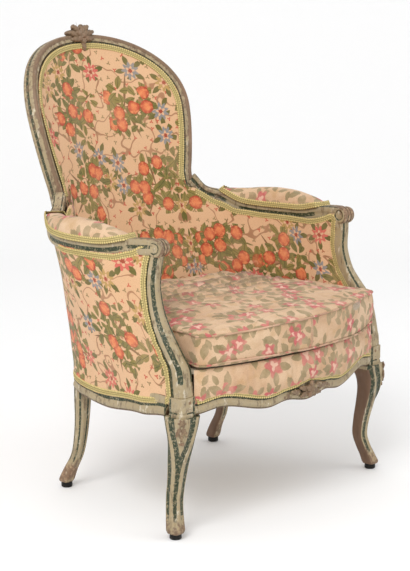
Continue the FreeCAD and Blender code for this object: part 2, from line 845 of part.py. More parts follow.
def inner_half_width(z):
    """Half width of the inside back, with air beside the stiles."""
    return opening_half_width(z) - size("seat_clearance")


def outside_half_width(z):
    """Half width of the outside back cover."""
    if z > size("waist_height"):
        return opening_half_width(z) - size("seat_clearance")
    share = (z - size("rail_top")) / (size("waist_height") - size("rail_top"))
    return mix(size("outside_half_width_low"), size("waist_half_width"), share) - size("seat_clearance")


def back_rows(bottom, half_width_at, behind_at, crown=0.0):
    """Rows of points of a panel that fills the frame of the back."""
    columns = 17
    rows = 15
    result = []
    for column in range(columns):
        angle = mix(-math.pi / 2, math.pi / 2, column / (columns - 1))
        across = math.sin(angle)
        line = []
        for row in range(rows):
            share = row / (rows - 1)
            top = opening_top(across * size("shoulder_half_width") * 0.995) - size("seat_clearance")
            z = mix(bottom, top, share)
            x = across * half_width_at(mix(bottom, size("shoulder_height"), share))
            wave = math.cos(angle) * math.sin(math.pi * share)
            line.append(on_back(x, z, behind_at(z) - crown * wave * wave))
        result.append(line)
    return result


def stuffing_face(z):
    """Front of the back's stuffing at its edge."""
    return pad_base(z) - size("back_stuffing")


def cover_face(z):
    """Front of the back's cover at its edge."""
    return stuffing_face(z) - size("cloth")


def hessian_rear(z):
    """Rear of the hessian behind the back's stuffing."""
    return pad_base(z) + size("cloth")


def outside_rear(z):
    """Rear face of the outside back's cover."""
    return outside_depth(z) + size("cloth")


def back_panel(bottom, half_width_at, front_at, rear_at, crown_front=0.0, crown_rear=0.0):
    """Panel of the back between two depths."""
    front = back_rows(bottom, half_width_at, front_at, crown_front)
    rear = back_rows(bottom, half_width_at, rear_at, crown_rear)
    return slab(front, rear)


def pad_section(centre, sideways, upward, width, height):
    """Flat base, short upright sides and a crown over them."""
    half = sideways * (width / 2)
    side = upward * (height * size("pad_side_share"))
    top = upward * height
    low_right = centre + half
    low_left = centre - half
    high_right = low_right + side - half * 0.06
    high_left = low_left + side + half * 0.06
    edges = [
        Part.LineSegment(low_left, low_right).toShape(),
        Part.LineSegment(low_right, high_right).toShape(),
        Part.Arc(high_right, centre + top, high_left).toShape(),
        Part.LineSegment(high_left, low_left).toShape(),
    ]
    return Part.Wire(edges)


def arm_pad(skin):
    """Padded top of the arm, with its cover when the skin is zero."""
    frames = arm_frames(arm_stations())[1:7]
    end = size("pad_end_height")
    tall = size("pad_height")
    shares = (0.0, 0.72, 1.0, 1.0, 0.8, 0.0)
    wires = []
    last = len(frames) - 1
    sunk = size("pad_seat") + skin
    for index, ((centre, sideways, upward, width, depth), share) in enumerate(zip(frames, shares)):
        if index in (0, last):
            inward = frames[1 if index == 0 else last - 1][0] - centre
            inward.normalize()
            centre = centre + inward * skin
        rise = upward * (depth / 2 - sunk)
        broad = min(width + 2 * size("pad_overhang"), size("pad_width")) - 2 * skin
        high = mix(end, tall, share) - skin + sunk
        wires.append(pad_section(centre + rise, sideways, upward, broad, high))
    return Part.makeLoft(wires, True, False)


# Seat and cushion


def prism(wire, height):
    """A wire filled and raised."""
    return Part.Face(wire).extrude(UP * height)


def seat_outline(z, inset, arm_cover):
    """Plan of the stuffed seat between the rail's face, the arms and the back."""
    gap = size("deck_side_gap") + inset
    end = size("block_x") - size("block_width") / 2 - gap
    front = []
    for index in range(9):
        x = mix(-end, end, index / 8)
        front.append(Vector(x, front_bow(x) + size("deck_front_setback") + inset, z))
    side = []
    for line in arm_cover[1:-1:2]:
        side.append(Vector(line[0].x - gap, line[0].y - gap * 0.5, z))
    corner = Vector(end, size("block_y") + size("post_width") / 2 + gap, z)
    right = [front[-1], corner] + side
    rear_x = right[-1].x
    rear = []
    for index in range(7):
        x = mix(rear_x, -rear_x, index / 6)
        cover_depth = size("back_stuffing") + size("cloth") - size("pad_base_low")
        edge = back_y(x, size("rail_top")) - cover_depth
        rear.append(Vector(x, min(edge - gap, right[-1].y + 60), z))
    right.append(rear[0])
    left = [Vector(-point.x, point.y, point.z) for point in reversed(right)]
    edges = [spline(front).toShape()]
    for run in (right, rear, left):
        if run is rear:
            edges.append(spline(run).toShape())
            continue
        for start, finish in zip(run, run[1:]):
            if start.distanceToPoint(finish) > 0.01:
                edges.append(Part.LineSegment(start, finish).toShape())
    return Part.Wire(edges)


def border_rows(in_front, swell):
    """Rows of points of the cover below the cushion, over the front rail's face."""
    end = size("block_x") - size("block_width") / 2 - 2 * size("seat_clearance")
    top = seat_base() + size("deck_height") + size("cloth")
    rows = []
    for column in range(25):
        x = mix(-end, end, column / 24)
        low = front_rail_bottom(x) + size("border_above_edge")
        line = []
        for row in range(7):
            z = mix(low, top, row / 6)
            swelling = swell * math.sin(math.pi * row / 6)
            face = front_bow(x) - apron_bump(x, min(z, size("rail_top")))
            line.append(Vector(x, face - in_front - swelling, z))
        rows.append(line)
    return rows


def cushion_outline(z, grow):
    """Plan of the cushion: bowed front, drawn-in sides and rounded rear corners."""
    corner_x = size("cushion_corner_x") + grow
    corner_y = size("cushion_corner_y") - grow * 0.5
    side_x = size("cushion_side_x") + grow
    side_y = size("cushion_corner_y") + 2 * size("cushion_corner_round")
    middle_x = size("cushion_middle_x") + grow
    rear_x = size("cushion_rear_x") + grow
    rear_y = size("cushion_rear_y")
    back_x = size("cushion_back_x") + grow * 0.5
    back_end = size("cushion_back_y") + grow
    chord = Vector((rear_x + back_x) / 2, (rear_y + back_end) / 2, z)
    places = [
        (Vector(corner_x, corner_y, z), Vector(corner_x + 1.5, (corner_y + side_y) / 2, z)),
        (Vector(side_x, side_y, z), Vector(middle_x, (side_y + rear_y) / 2 + 8, z)),
        (Vector(rear_x, rear_y, z), chord + Vector(9, 9, 0)),
        (Vector(back_x, back_end, z), Vector(0, back_end + size("cushion_back_bow"), z)),
    ]
    edges = []
    nose = Vector(0, size("cushion_front_y") - grow, z)
    edges.append(Part.Arc(Vector(-corner_x, corner_y, z), nose, places[0][0]).toShape())
    ends = [station for station, _ in places] + [Vector(-back_x, back_end, z)]
    for (start, middle), finish in zip(places, ends[1:]):
        edges.append(Part.Arc(start, middle, finish).toShape())
    for (start, middle), finish in zip(reversed(places[:3]), reversed(ends[1:4])):
        flip = [Vector(-point.x, point.y, point.z) for point in (finish, middle, start)]
        edges.append(Part.Arc(*flip).toShape())
    return Part.Wire(edges)


def cushion_levels():
    """Under side, lower seam, upper seam and crown of the cushion."""
    floor = seat_base() + size("deck_height") + size("cloth") + size("cushion_gap")
    lower = floor + size("cushion_seam_rise")
    upper = lower + size("cushion_border")
    return floor, lower, upper, upper + size("cushion_crown")


def cushion_solid(skin):
    """The cushion, smaller by the skin on every side."""
    floor, lower, upper, crown = cushion_levels()
    middle = Vector(0, (size("cushion_front_y") + size("cushion_back_y")) / 2, upper)
    swell = size("cushion_swell")
    wires = [
        cushion_outline(floor + skin, -size("cushion_underside_inset") - skin),
        cushion_outline(lower, -skin),
        cushion_outline(mix(lower, upper, 0.3), swell - skin),
        cushion_outline(mix(lower, upper, 0.7), swell - skin),
        cushion_outline(upper, -skin),
    ]
    for share in (0.94, 0.82, 0.62, 0.36):
        ring = cushion_outline(upper, -skin).scaled(share, middle)
        ring.translate(UP * ((crown - upper) * math.sqrt(1 - share * share) - skin))
        wires.append(Part.Wire(ring.Edges))
    return solid_from(Part.makeLoft(wires, True, True))


def piping_ring(z):
    """Welt round the cushion at a seam."""
    outer = prism(cushion_outline(z, size("piping")), size("piping"))
    ring = outer.cut(prism(cushion_outline(z, 0), size("piping")))
    ring.translate(UP * (-size("piping") / 2))
    return ring


# Braid


def braid(points, normals, ruled=True):
    """A flat strip along points that lies on the surface with these normals."""
    wires = []
    last = len(points) - 1
    for index, (point, normal) in enumerate(zip(points, normals)):
        run = points[min(index + 1, last)] - points[max(index - 1, 0)]
        across = run.cross(normal)
        across.normalize()
        half = across * (size("gimp_width") / 2)
        low = point + normal * size("gimp_gap")
        high = low + normal * size("gimp_thickness")
        corners = [low - half, low + half, high + half, high - half, low - half]
        wires.append(Part.makePolygon(corners))
    return solid_from(Part.makeLoft(wires, True, ruled))


def braid_on(lines, corners, towards, cover):
    """Braid laid on a cover's surface, a length of it from each corner to the next.

    Each corner gives shares along and up the rows of points that the surface passes.
    """
    margin = size("gimp_width") / 2 + size("gimp_gap")
    surface = Part.BSplineSurface()
    surface.interpolate(lines)
    low_u, high_u, low_v, high_v = surface.bounds()
    lengths = []
    for turn, (start, finish) in enumerate(zip(corners, corners[1:])):
        points = []
        normals = []
        steps = int(size("gimp_steps"))
        for index in range(steps + 1):
            u = mix(low_u, high_u, mix(start[0], finish[0], index / steps))
            v = mix(low_v, high_v, mix(start[1], finish[1], index / steps))
            points.append(surface.value(u, v))
            normal = surface.normal(u, v)
            normals.append(normal if normal.dot(towards) > 0 else normal * -1)
        if turn > 0:
            first = points[1] - points[0]
            first.normalize()
            points[0] = points[0] + first * margin
        lengths.append(trimmed(braid(points, normals), [cover]))
    return Part.makeCompound(lengths)


def arch_braid(behind_at, facing, inset):
    """Braid round the opening of the frame, on its front or its rear."""
    inset = size("gimp_width") / 2 + inset
    waist = size("waist_height")
    heights = [waist - 45, waist - 22, waist, mix(waist, size("shoulder_height"), 0.5)]
    edge = [(opening_half_width(z), z) for z in heights]
    steps = int(size("gimp_steps"))
    for index in range(steps + 1):
        edge.append(arch_place(math.pi / 2 * (1 - index / steps)))
    edge += [(-x, z) for x, z in reversed(edge[:-1])]
    points = []
    normals = []
    last = len(edge) - 1
    for index, (x, z) in enumerate(edge):
        low = edge[max(index - 1, 0)]
        high = edge[min(index + 1, last)]
        inward = Vector(-(high[1] - low[1]), 0, high[0] - low[0])
        inward.normalize()
        inner_x = x + inward.x * inset
        inner_z = z + inward.z * inset
        points.append(on_back(inner_x, inner_z, behind_at(inner_z)))
        normals.append(back_normal(inner_x, inner_z) * facing)
    return braid(points, normals)


def pad_braid(sign):
    """Braid along one side of the arm pad's base, outer side when positive."""
    frames = arm_frames(arm_stations())[1:7]
    points = []
    normals = []
    for centre, sideways, upward, width, depth in frames:
        half = min(width + 2 * size("pad_overhang"), size("pad_width")) / 2
        lift = depth / 2 + size("seat_clearance") + size("gimp_width") / 2
        points.append(centre + upward * lift + sideways * (half * sign))
        normals.append(sideways * sign)
    return braid(points, normals, False)


# Small hardware


def glide(name, x, y):
    """Round glide turned from one profile, with a sunk hole for its nail."""
    body = DOC.addObject("PartDesign::Body", name + "_body")
    plane = [item for item in body.Origin.OriginFeatures if item.Role == "XZ_Plane"][0]
    sketch = body.newObject("Sketcher::SketchObject", name + "_profile")
    sketch.AttachmentSupport = [(plane, "")]
    sketch.MapMode = "FlatFace"
    radius = size("glide_radius")
    tall = size("glide_height")
    bevel = size("glide_bevel")
    corners = ((0, 0), (radius - bevel, 0), (radius, bevel), (radius, tall), (0, tall))
    count = len(corners)
    for index, corner in enumerate(corners):
        after = corners[(index + 1) % count]
        edge = Part.LineSegment(Vector(corner[0], corner[1], 0), Vector(after[0], after[1], 0))
        sketch.addGeometry(edge, False)
    for index in range(count):
        sketch.addConstraint(Sketcher.Constraint("Coincident", index, 2, (index + 1) % count, 1))
    sketch.addConstraint(Sketcher.Constraint("Coincident", 0, 1, -1, 1))
    sketch.addConstraint(Sketcher.Constraint("Horizontal", 0))
    sketch.addConstraint(Sketcher.Constraint("Vertical", 2))
    sketch.addConstraint(Sketcher.Constraint("Horizontal", 3))
    sketch.addConstraint(Sketcher.Constraint("Vertical", 4))
    driven = (
        ("DistanceX", (3, 2, 3, 1), "glide_radius"),
        ("DistanceY", (0, 1, 4, 1), "glide_height"),
        ("DistanceX", (0, 2, 1, 2), "glide_bevel"),
        ("DistanceY", (0, 2, 1, 2), "glide_bevel"),
    )
    for kind, ends, alias in driven:
        place_in = sketch.addConstraint(Sketcher.Constraint(kind, *ends, size(alias)))
        sketch.setExpression("Constraints[%d]" % place_in, "sizes." + alias)
    DOC.recompute()
    turned = body.newObject("PartDesign::Revolution", name + "_turned")
    turned.Profile = sketch
    turned.ReferenceAxis = (sketch, ["V_Axis"])
    turned.Angle = 360
    DOC.recompute()
    bore = DOC.addObject("Part::Cylinder", name + "_bore")
    bore.setExpression("Radius", "sizes.nail_head_radius")
    bore.setExpression("Height", "sizes.nail_sink")
    pilot = DOC.addObject("Part::Cylinder", name + "_pilot")
    pilot.setExpression("Radius", "sizes.nail_shank_radius")
    pilot.setExpression("Height", "sizes.glide_height")
    holes = DOC.addObject("Part::MultiFuse", name + "_holes")
    holes.Shapes = [bore, pilot]
    cut = DOC.addObject("Part::Cut", name)
    cut.Base = body
    cut.Tool = holes
    cut.Placement = FreeCAD.Placement(Vector(x, y, 0), FreeCAD.Rotation())
    cut.Label = name
    DOC.recompute()
    NODES.append(cut)


def nail(x, y):
    """Nail that holds a glide, its head sunk in the tread."""
    sink = size("nail_sink")
    thick = sink / 2
    head = Part.makeCylinder(size("nail_head_radius"), thick, Vector(x, y, sink - thick))
    shank = Part.makeCylinder(size("nail_shank_radius"), size("nail_length"), Vector(x, y, sink))
    return head.fuse(shank).removeSplitter()


def peg(centre, direction):
    """Round wooden peg."""
    return Part.makeCylinder(size("peg_radius"), size("peg_length"), centre, direction)


def corner_block(x, y, toward_x, toward_y):
    """Triangular glue block in a corner of the seat frame."""
    leg = size("corner_block_leg")
    tall = size("corner_block_height")
    corner = Vector(x, y, size("rail_top") - size("corner_block_drop") - tall)
    along_front = corner + Vector(leg * toward_x, 0, 0)
    along_side = corner + Vector(0, leg * toward_y, 0)
    return prism(Part.makePolygon([corner, along_front, along_side, corner]), tall)


# Build the wood

leg_shape = front_leg()
upright_shape = upright()
both_legs = [leg_shape, mirrored(leg_shape)]
both_uprights = [upright_shape, mirrored(upright_shape)]
arm_shape = arm_rail(upright_shape)
post_shape = largest(arm_post().cut(arm_shape))
side_shape = side_rail([leg_shape, upright_shape])
both_sides = [side_shape, mirrored(side_shape)]
crest_shape = largest(crest_rail().cut(both_uprights))
front_shape = front_rail(both_legs)
rear_reach = size("rear_leg_x")
rear_start = 2
rear_height = size("rail_top") - size("rear_rail_bottom")
rear_bottom = size("rear_rail_bottom")
rear_shape = curved_rail(rear_reach, rear_bottom, rear_height, rear_start, size("rail_thickness"))
rear_shape = largest(rear_shape.cut(both_uprights + both_sides))
lower_bottom = size("lower_rail_bottom")
lower_thickness = size("lower_rail_thickness")
lower_shape = curved_rail(rear_reach, lower_bottom, size("lower_rail_height"), rear_start, lower_thickness)
lower_shape = largest(lower_shape.cut(both_uprights))

peg_shapes = []
peg_x = size("block_x") - 2
peg_y = size("block_y") - size("block_width") / 2
for side in (1, -1):
    for share in (0.35, 0.75):
        z = mix(size("front_rail_end_bottom"), size("rail_top"), share)
        start = Vector(side * peg_x, peg_y, z)
        peg_shapes.append(peg(start, Vector(0, 1, 0)))
leg_shape = leg_shape.cut(peg_shapes[:2])

add_pair("front_leg", leg_shape)
add_pair("rear_upright", upright_shape)
add_pair("arm_post", post_shape)
add_pair("arm_rail", arm_shape)
add("crest_rail", crest_shape)
add("front_rail", front_shape)
add_pair("side_rail", side_shape)
add("rear_rail", rear_shape)
add("lower_back_rail", lower_shape)
add("joint_pegs", Part.makeCompound(peg_shapes))

seat_frame = both_legs + both_uprights + both_sides + [front_shape, rear_shape]
blocks = []
front_y = front_bow(size("block_x") - size("block_width")) + size("front_rail_thickness") - 3
rear_y = back_y(size("rear_leg_x") - 25, size("rail_top")) + 2
for side in (1, -1):
    front_x = side * (size("block_x") - size("block_width") / 2 - 4)
    blocks.append(trimmed(corner_block(front_x, front_y, -side, 1), seat_frame))
    rear_x = side * (size("rear_leg_x") - 3)
    blocks.append(trimmed(corner_block(rear_x, rear_y, -side, -1), seat_frame))
add("corner_blocks", Part.makeCompound(blocks))

# Build the glides and their nails

feet = {
    "front": (size("block_x") + size("foot_out"), size("block_y") + size("foot_back")),
    "rear": (size("rear_leg_x") + size("rear_foot_out"), size("rear_leg_y") + size("rear_foot_back")),
}
nails = []
for end, (foot_x, foot_y) in feet.items():
    for word, side in (("right", 1), ("left", -1)):
        glide("glide_%s_%s" % (end, word), side * foot_x, foot_y)
        nails.append(nail(side * foot_x, foot_y))
add("glide_nails", Part.makeCompound(nails))
for piece in NODES:
    if piece.Label in ("front_leg_right", "rear_upright_right"):
        piece.Shape = piece.Shape.cut(nails)

# Build the seat

arm_base = inside_arm_rows()
arm_cover_rear = bulged(arm_base, -size("arm_stuffing"), -size("arm_crown"))
arm_cover_front = bulged(arm_base, -size("arm_stuffing") - size("cloth"), -size("arm_crown"))
cloth = size("cloth")
rail_top = size("rail_top")
inner_plan = prism(seat_outline(rail_top, size("webbing_inset"), arm_cover_front), 3 * cloth)
straps = []
strap_width = size("webbing_width")
strap_length = 900
strap_middle = Vector(0, (size("block_y") + size("rear_leg_y")) / 2, rail_top)
for index in range(int(size("webbing_across"))):
    offset = (index - (size("webbing_across") - 1) / 2) * size("webbing_pitch")
    corner = strap_middle + Vector(offset - strap_width / 2, -strap_length / 2, 0)
    straps.append(Part.makeBox(strap_width, strap_length, cloth, corner))
for index in range(int(size("webbing_along"))):
    offset = (index - (size("webbing_along") - 1) / 2) * size("webbing_pitch")
    corner = strap_middle + Vector(-strap_length / 2, offset - strap_width / 2, cloth)
    straps.append(Part.makeBox(strap_length, strap_width, cloth, corner))
both_posts = [post_shape, mirrored(post_shape)]
straps = [trimmed(strap.common(inner_plan), both_posts + both_uprights) for strap in straps]
add("seat_webbing", Part.makeCompound(straps))
hessian = prism(seat_outline(rail_top + 2 * cloth, 0, arm_cover_front), cloth)
add("seat_hessian", trimmed(hessian, both_posts))
deck = prism(seat_outline(seat_base(), 0, arm_cover_front), size("deck_height") + cloth)
deck = trimmed(deck, both_posts)
filling = prism(seat_outline(seat_base(), cloth, arm_cover_front), size("deck_height"))
filling = trimmed(filling, both_posts)
add("seat_stuffing", filling)
add("seat_cover", trimmed(deck, [filling]))

border_front = border_rows(size("seat_clearance") + cloth, size("border_bulge"))
border = slab(border_front, border_rows(size("seat_clearance"), size("border_bulge") * 0.5))
add("front_border", border)

# Build the back's upholstery

pad_bottom = seat_base() + size("seat_clearance")
back_wood = both_uprights + [crest_shape, lower_shape, rear_shape, arm_shape, mirrored(arm_shape)]
crown = size("back_crown")
base_cloth = trimmed(back_panel(pad_bottom, inner_half_width, pad_base, hessian_rear), back_wood)
add("back_hessian", base_cloth)
back_stuffing = trimmed(back_panel(pad_bottom, inner_half_width, stuffing_face, pad_base, crown), back_wood)
add("inside_back_stuffing", back_stuffing)
back_cover = back_panel(pad_bottom, inner_half_width, cover_face, stuffing_face, crown, crown)
back_cover = trimmed(back_cover, back_wood)
add("inside_back_cover", back_cover)
outside_bottom = size("rear_rail_bottom") + size("side_cover_above_edge")
rear_cover = back_panel(outside_bottom, outside_half_width, outside_depth, outside_rear)
rear_cover = trimmed(rear_cover, back_wood)
add("outside_back_cover", rear_cover)

# Build the arms' upholstery

hard = [arm_shape, post_shape, upright_shape, side_shape, rear_shape]
soft = [back_stuffing, back_cover, base_cloth, deck]
inside_stuffing = trimmed(slab(arm_cover_rear, arm_base), hard + soft)
inside_cover = trimmed(slab(arm_cover_front, arm_cover_rear), hard + soft)
add_pair("inside_arm_stuffing", inside_stuffing)
add_pair("inside_arm_cover", inside_cover)
side_rows = outside_arm_rows()
side_front = bulged(side_rows, cloth)
outside_cover = trimmed(slab(side_front, side_rows), hard)
add_pair("outside_arm_cover", outside_cover)
pad_stuffing = trimmed(arm_pad(cloth), [arm_shape])
pad_cover = trimmed(arm_pad(0.0), [arm_pad(cloth), arm_shape])
add_pair("arm_pad_stuffing", pad_stuffing)
add_pair("arm_pad_cover", pad_cover)

# Build the braid

ACROSS = Vector(-1, 0, 0)
near = 2 * size("seat_clearance")
front_edge = arch_braid(cover_face, -1, near)
add("gimp_inside_back", trimmed(front_edge, [back_cover] + both_uprights))
rear_edge = arch_braid(outside_rear, 1, size("gimp_rear_inset"))
add("gimp_outside_back", trimmed(rear_edge, [rear_cover, crest_shape] + both_uprights))
arm_corners = ((0.95, 0.965), (0.035, 0.965), (0.035, 0.25))
add_pair("gimp_inside_arm", braid_on(arm_cover_front, arm_corners, ACROSS, inside_cover))
side_corners = ((0.9, 0.965), (0.03, 0.965), (0.03, 0.04), (0.9, 0.04))
add_pair("gimp_outside_arm", braid_on(side_front, side_corners, OUTWARD, outside_cover))
front_corners = ((0.01, 0.07), (0.25, 0.07), (0.5, 0.07), (0.75, 0.07), (0.99, 0.07))
add("gimp_front", braid_on(border_front, front_corners, FORWARD, border))
add_pair("gimp_arm_pad_outer", pad_braid(1))
add_pair("gimp_arm_pad_inner", pad_braid(-1))

# Build the cushion

cushion_inside = cushion_solid(cloth)
cushion_outside = cushion_solid(0.0)
add("cushion_filling", cushion_inside)
add("cushion_cover", trimmed(cushion_outside, [cushion_inside]))
add("cushion_piping_lower", trimmed(piping_ring(cushion_levels()[1]), [cushion_outside]))
add("cushion_piping_upper", trimmed(piping_ring(cushion_levels()[2]), [cushion_outside]))

# Set the origin on the floor, at the middle of the chair's depth

foremost = Part.makeCompound([cushion_outside, border, front_shape]).optimalBoundingBox().YMin
rearmost = Part.makeCompound([crest_shape, rear_cover]).optimalBoundingBox().YMax
middle_depth = (foremost + rearmost) / 2
print("depth from", round(foremost, 2), "to", round(rearmost, 2), "middle", round(middle_depth, 3))
for piece in NODES:
    if piece.TypeId != "Part::Mirroring":
        piece.Placement.Base = piece.Placement.Base - Vector(0, middle_depth, 0)

DOC.recompute()
failed = [piece.Label for piece in DOC.Objects if "Invalid" in piece.State or "Error" in piece.State]
for piece in NODES:
    if piece.Shape.isNull() or not piece.Shape.isValid():
        failed.append(piece.Label)
if failed:
    raise RuntimeError("these pieces failed: " + ", ".join(failed))

os.makedirs("parts", exist_ok=True)
for piece in NODES:
    piece.Shape.exportStep("parts/" + piece.Label + ".step")
    print(piece.Label, len(piece.Shape.Solids), round(piece.Shape.Volume))
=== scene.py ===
"""Looks of the bergere armchair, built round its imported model.

The chair faces -Y, +Z is up and X = 0 is the plane of symmetry. Shapes are worked out in
millimetres from the chair's own sizes and written to the meshes in metres. Right-hand pieces
are built first and left-hand ones are their mirror images.
"""

import json
import math

import bpy
from mathutils import Matrix, Vector, noise


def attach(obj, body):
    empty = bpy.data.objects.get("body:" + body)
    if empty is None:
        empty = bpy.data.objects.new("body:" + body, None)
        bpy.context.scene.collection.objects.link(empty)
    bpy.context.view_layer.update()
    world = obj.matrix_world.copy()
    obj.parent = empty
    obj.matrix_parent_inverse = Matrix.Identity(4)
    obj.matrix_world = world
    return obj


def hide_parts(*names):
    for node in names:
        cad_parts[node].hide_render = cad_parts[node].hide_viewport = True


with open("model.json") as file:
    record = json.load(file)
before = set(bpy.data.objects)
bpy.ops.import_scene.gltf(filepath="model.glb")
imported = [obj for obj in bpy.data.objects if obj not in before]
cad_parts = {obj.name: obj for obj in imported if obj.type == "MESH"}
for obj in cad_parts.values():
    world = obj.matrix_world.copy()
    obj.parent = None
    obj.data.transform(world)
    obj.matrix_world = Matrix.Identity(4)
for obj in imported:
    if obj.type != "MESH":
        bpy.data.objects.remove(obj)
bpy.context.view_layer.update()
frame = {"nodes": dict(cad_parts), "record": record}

MM = 0.001
UP = Vector((0, 0, 1))
OUTWARD = Vector((1, 0, 0))
FRONT = Vector((0, -1, 0))

# Added to Y, so that the middle of the chair's depth lies on Y = 0
DEPTH_SHIFT = -27.551

# Sizes and places of the chair's parts, as in the model

BLOCK_X = 300
BLOCK_Y = -243
BLOCK_WIDTH = 39
BLOCK_TOP = 286
RAIL_TOP = 286
FOOT_BASE = 12
ARM_HEIGHT = 556
ARM_DEPTH = 30
CREST_HEIGHT = 957
BACK_RAKE = 0.3
BACK_CREST_Y = 350
BACK_RADIUS = 420
SEAT_BACK_RADIUS = 640
FRAME_FACE = 21
FRAME_DEPTH = 28
SHOULDER_HEIGHT = 795
SHOULDER_HALF_WIDTH = 213
WAIST_HEIGHT = 640
WAIST_HALF_WIDTH = 186
STILE_FOOT = WAIST_HEIGHT - 34
CREST_JOINT_SHARE = 0.72
ARCH_FULLNESS = 2.2
BOW_ENDS = -259
BOW_DEPTH = 56
BOW_HALF_WIDTH = 280.5
COVER_FOOT = 292
COVER_HALF_FOOT = 212
BORDER_TOP = 337.6
DECK_TOP = 338
REAR_LEG_X = 227
REAR_LEG_Y = 117
CLOTH = 1.5

# How far the print of left-hand pieces is shifted against the right-hand ones, in metres
TWIN_PRINT_SHIFT = Vector((1.37, 0.61))

ARM_PLAN = {
    "neck": (296, -156),
    "pad_front": (303, -106),
    "front": (309, -62),
    "middle": (312, -8),
    "rear": (303, 60),
    "turn": (284, 118),
    "collar": (257, 163),
    "sweep": (226, 186),
    "root": (203, 203),
}
RAIL_PLAN = ((302, -216), (286, -110), (270, -10), (252, 72), (233, 112))

# Stations up the arm post: height, how far out and back of the block, and width
POST_STATIONS = (
    (BLOCK_TOP, 0, 0, 37), (312, 0.5, 2, 37), (340, 0, 7, 37), (367, 6, 18, 36),
    (394, 10, 32, 35), (421, 7, 51, 32), (448, 2, 67, 29), (475, -1, 76, 27.5),
    (500, -3, 80, 27), (535, -5, 77, 27), (556, -8, 74, 26),
)


# Small helpers


def mix(first, second, share):
    """A value between two values."""
    return first + (second - first) * share


def clamp(value, low=0.0, high=1.0):
    """A value kept between two limits."""
    return min(max(value, low), high)


def smooth(share):
    """A share from 0 to 1 that starts and ends gently."""
    share = clamp(share)
    return share * share * (3 - 2 * share)


def through(stops, at):
    """A smooth wave through stops, each a position and its value."""
    if at <= stops[0][0]:
        return stops[0][1]
    for (start, low), (end, high) in zip(stops, stops[1:]):
        if at <= end:
            return mix(low, high, smooth((at - start) / (end - start)))
    return stops[-1][1]


def lobe(at, centre, half):
    """A soft bump, 1 at its centre and 0 from half a width away."""
    share = abs(at - centre) / half
    return 0.0 if share >= 1 else 0.5 + 0.5 * math.cos(math.pi * share)


def band(at, low, high, soft):
    """1 inside a band, 0 outside it, with soft edges."""
    return smooth((at - low) / soft + 0.5) * smooth((high - at) / soft + 0.5)


def curve_through(keys, count):
    """Rows of numbers on a smooth curve through key rows; the first three are a place."""
    stops = [0.0]
    for before, after in zip(keys, keys[1:]):
        stops.append(stops[-1] + max(math.dist(before[:3], after[:3]), 1e-6))
    slopes = []
    last = len(keys) - 1
    for index in range(len(keys)):
        low = max(index - 1, 0)
        high = min(index + 1, last)
        span = stops[high] - stops[low]
        slopes.append([(b - a) / span for a, b in zip(keys[low], keys[high])])
    rows = []
    piece = 0
    for step in range(count):
        at = stops[-1] * step / (count - 1)
        while piece < last - 1 and at > stops[piece + 1]:
            piece += 1
        length = stops[piece + 1] - stops[piece]
        t = (at - stops[piece]) / length
        h00 = 2 * t ** 3 - 3 * t ** 2 + 1
        h10 = t ** 3 - 2 * t ** 2 + t
        h01 = -2 * t ** 3 + 3 * t ** 2
        h11 = t ** 3 - t ** 2
        rows.append([
            h00 * a + h10 * length * ma + h01 * b + h11 * length * mb
            for a, ma, b, mb in zip(keys[piece], slopes[piece], keys[piece + 1], slopes[piece + 1])
        ])
    return rows


def to_row(point):
    """A millimetre place as metres in the model's frame."""
    return (point[0] * MM, (point[1] + DEPTH_SHIFT) * MM, point[2] * MM)


def new_mesh(name, points, faces, uvs=None, shades=None):
    """An object from millimetre points, with UVs per point and named shade values per point."""
    mesh = bpy.data.meshes.new(name)
    mesh.from_pydata([to_row(point) for point in points], [], faces)
    if uvs:
        layer = mesh.uv_layers.new(name="UVMap")
        for loop in mesh.loops:
            layer.data[loop.index].uv = uvs[loop.vertex_index]
    for key, values in (shades or {}).items():
        attribute = mesh.attributes.new(key, "FLOAT", "POINT")
        attribute.data.foreach_set("value", values)
    mesh.polygons.foreach_set("use_smooth", [True] * len(mesh.polygons))
    mesh.validate()
    mesh.update()
    obj = bpy.data.objects.new(name, mesh)
    bpy.context.scene.collection.objects.link(obj)
    return obj


def mirrored(obj, name):
    """The mirror image of a piece, for the chair's other side."""
    mesh = obj.data.copy()
    mesh.transform(Matrix.Scale(-1, 4, OUTWARD))
    mesh.flip_normals()
    mesh.update()
    twin = bpy.data.objects.new(name, mesh)
    bpy.context.scene.collection.objects.link(twin)
    return twin


def finish_piece(obj, body, material, *nodes):
    """Gives a piece its body and its material, and hides the nodes that it stands for."""
    obj.data.materials.clear()
    obj.data.materials.append(material)
    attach(obj, body)
    if nodes:
        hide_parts(*nodes)
    return obj


def finish_pair(obj, base, material, *nodes):
    """The same for a right-hand piece and its mirror image."""
    twin = mirrored(obj, base + "_left")
    for corner in twin.data.uv_layers.active.data:
        corner.uv = corner.uv + TWIN_PRINT_SHIFT
    finish_piece(obj, "frame", material, *[node + "_right" for node in nodes])
    finish_piece(twin, "frame", material, *[node + "_left" for node in nodes])
    return obj, twin


# The curve of the back and the plan of the rails, as in the model


def back_y(x, z):
    """Front face of the back frame."""
    middle = BACK_CREST_Y - BACK_RAKE * (CREST_HEIGHT - z)
    share = smooth((z - RAIL_TOP) / (ARM_HEIGHT - RAIL_TOP))
    radius = mix(SEAT_BACK_RADIUS, BACK_RADIUS, share)
    return middle - (radius - math.sqrt(radius * radius - x * x))


def on_back(x, z, behind=0.0):
    """A point of the back, some way behind the face of its frame."""
    return Vector((x, back_y(x, z) + behind, z))


def back_normal(x, z):
    """Unit direction from the face of the back to its rear."""
    across = on_back(x + 1, z) - on_back(x - 1, z)
    upward = on_back(x, z + 1) - on_back(x, z - 1)
    normal = upward.cross(across).normalized()
    return normal if normal.y > 0 else -normal


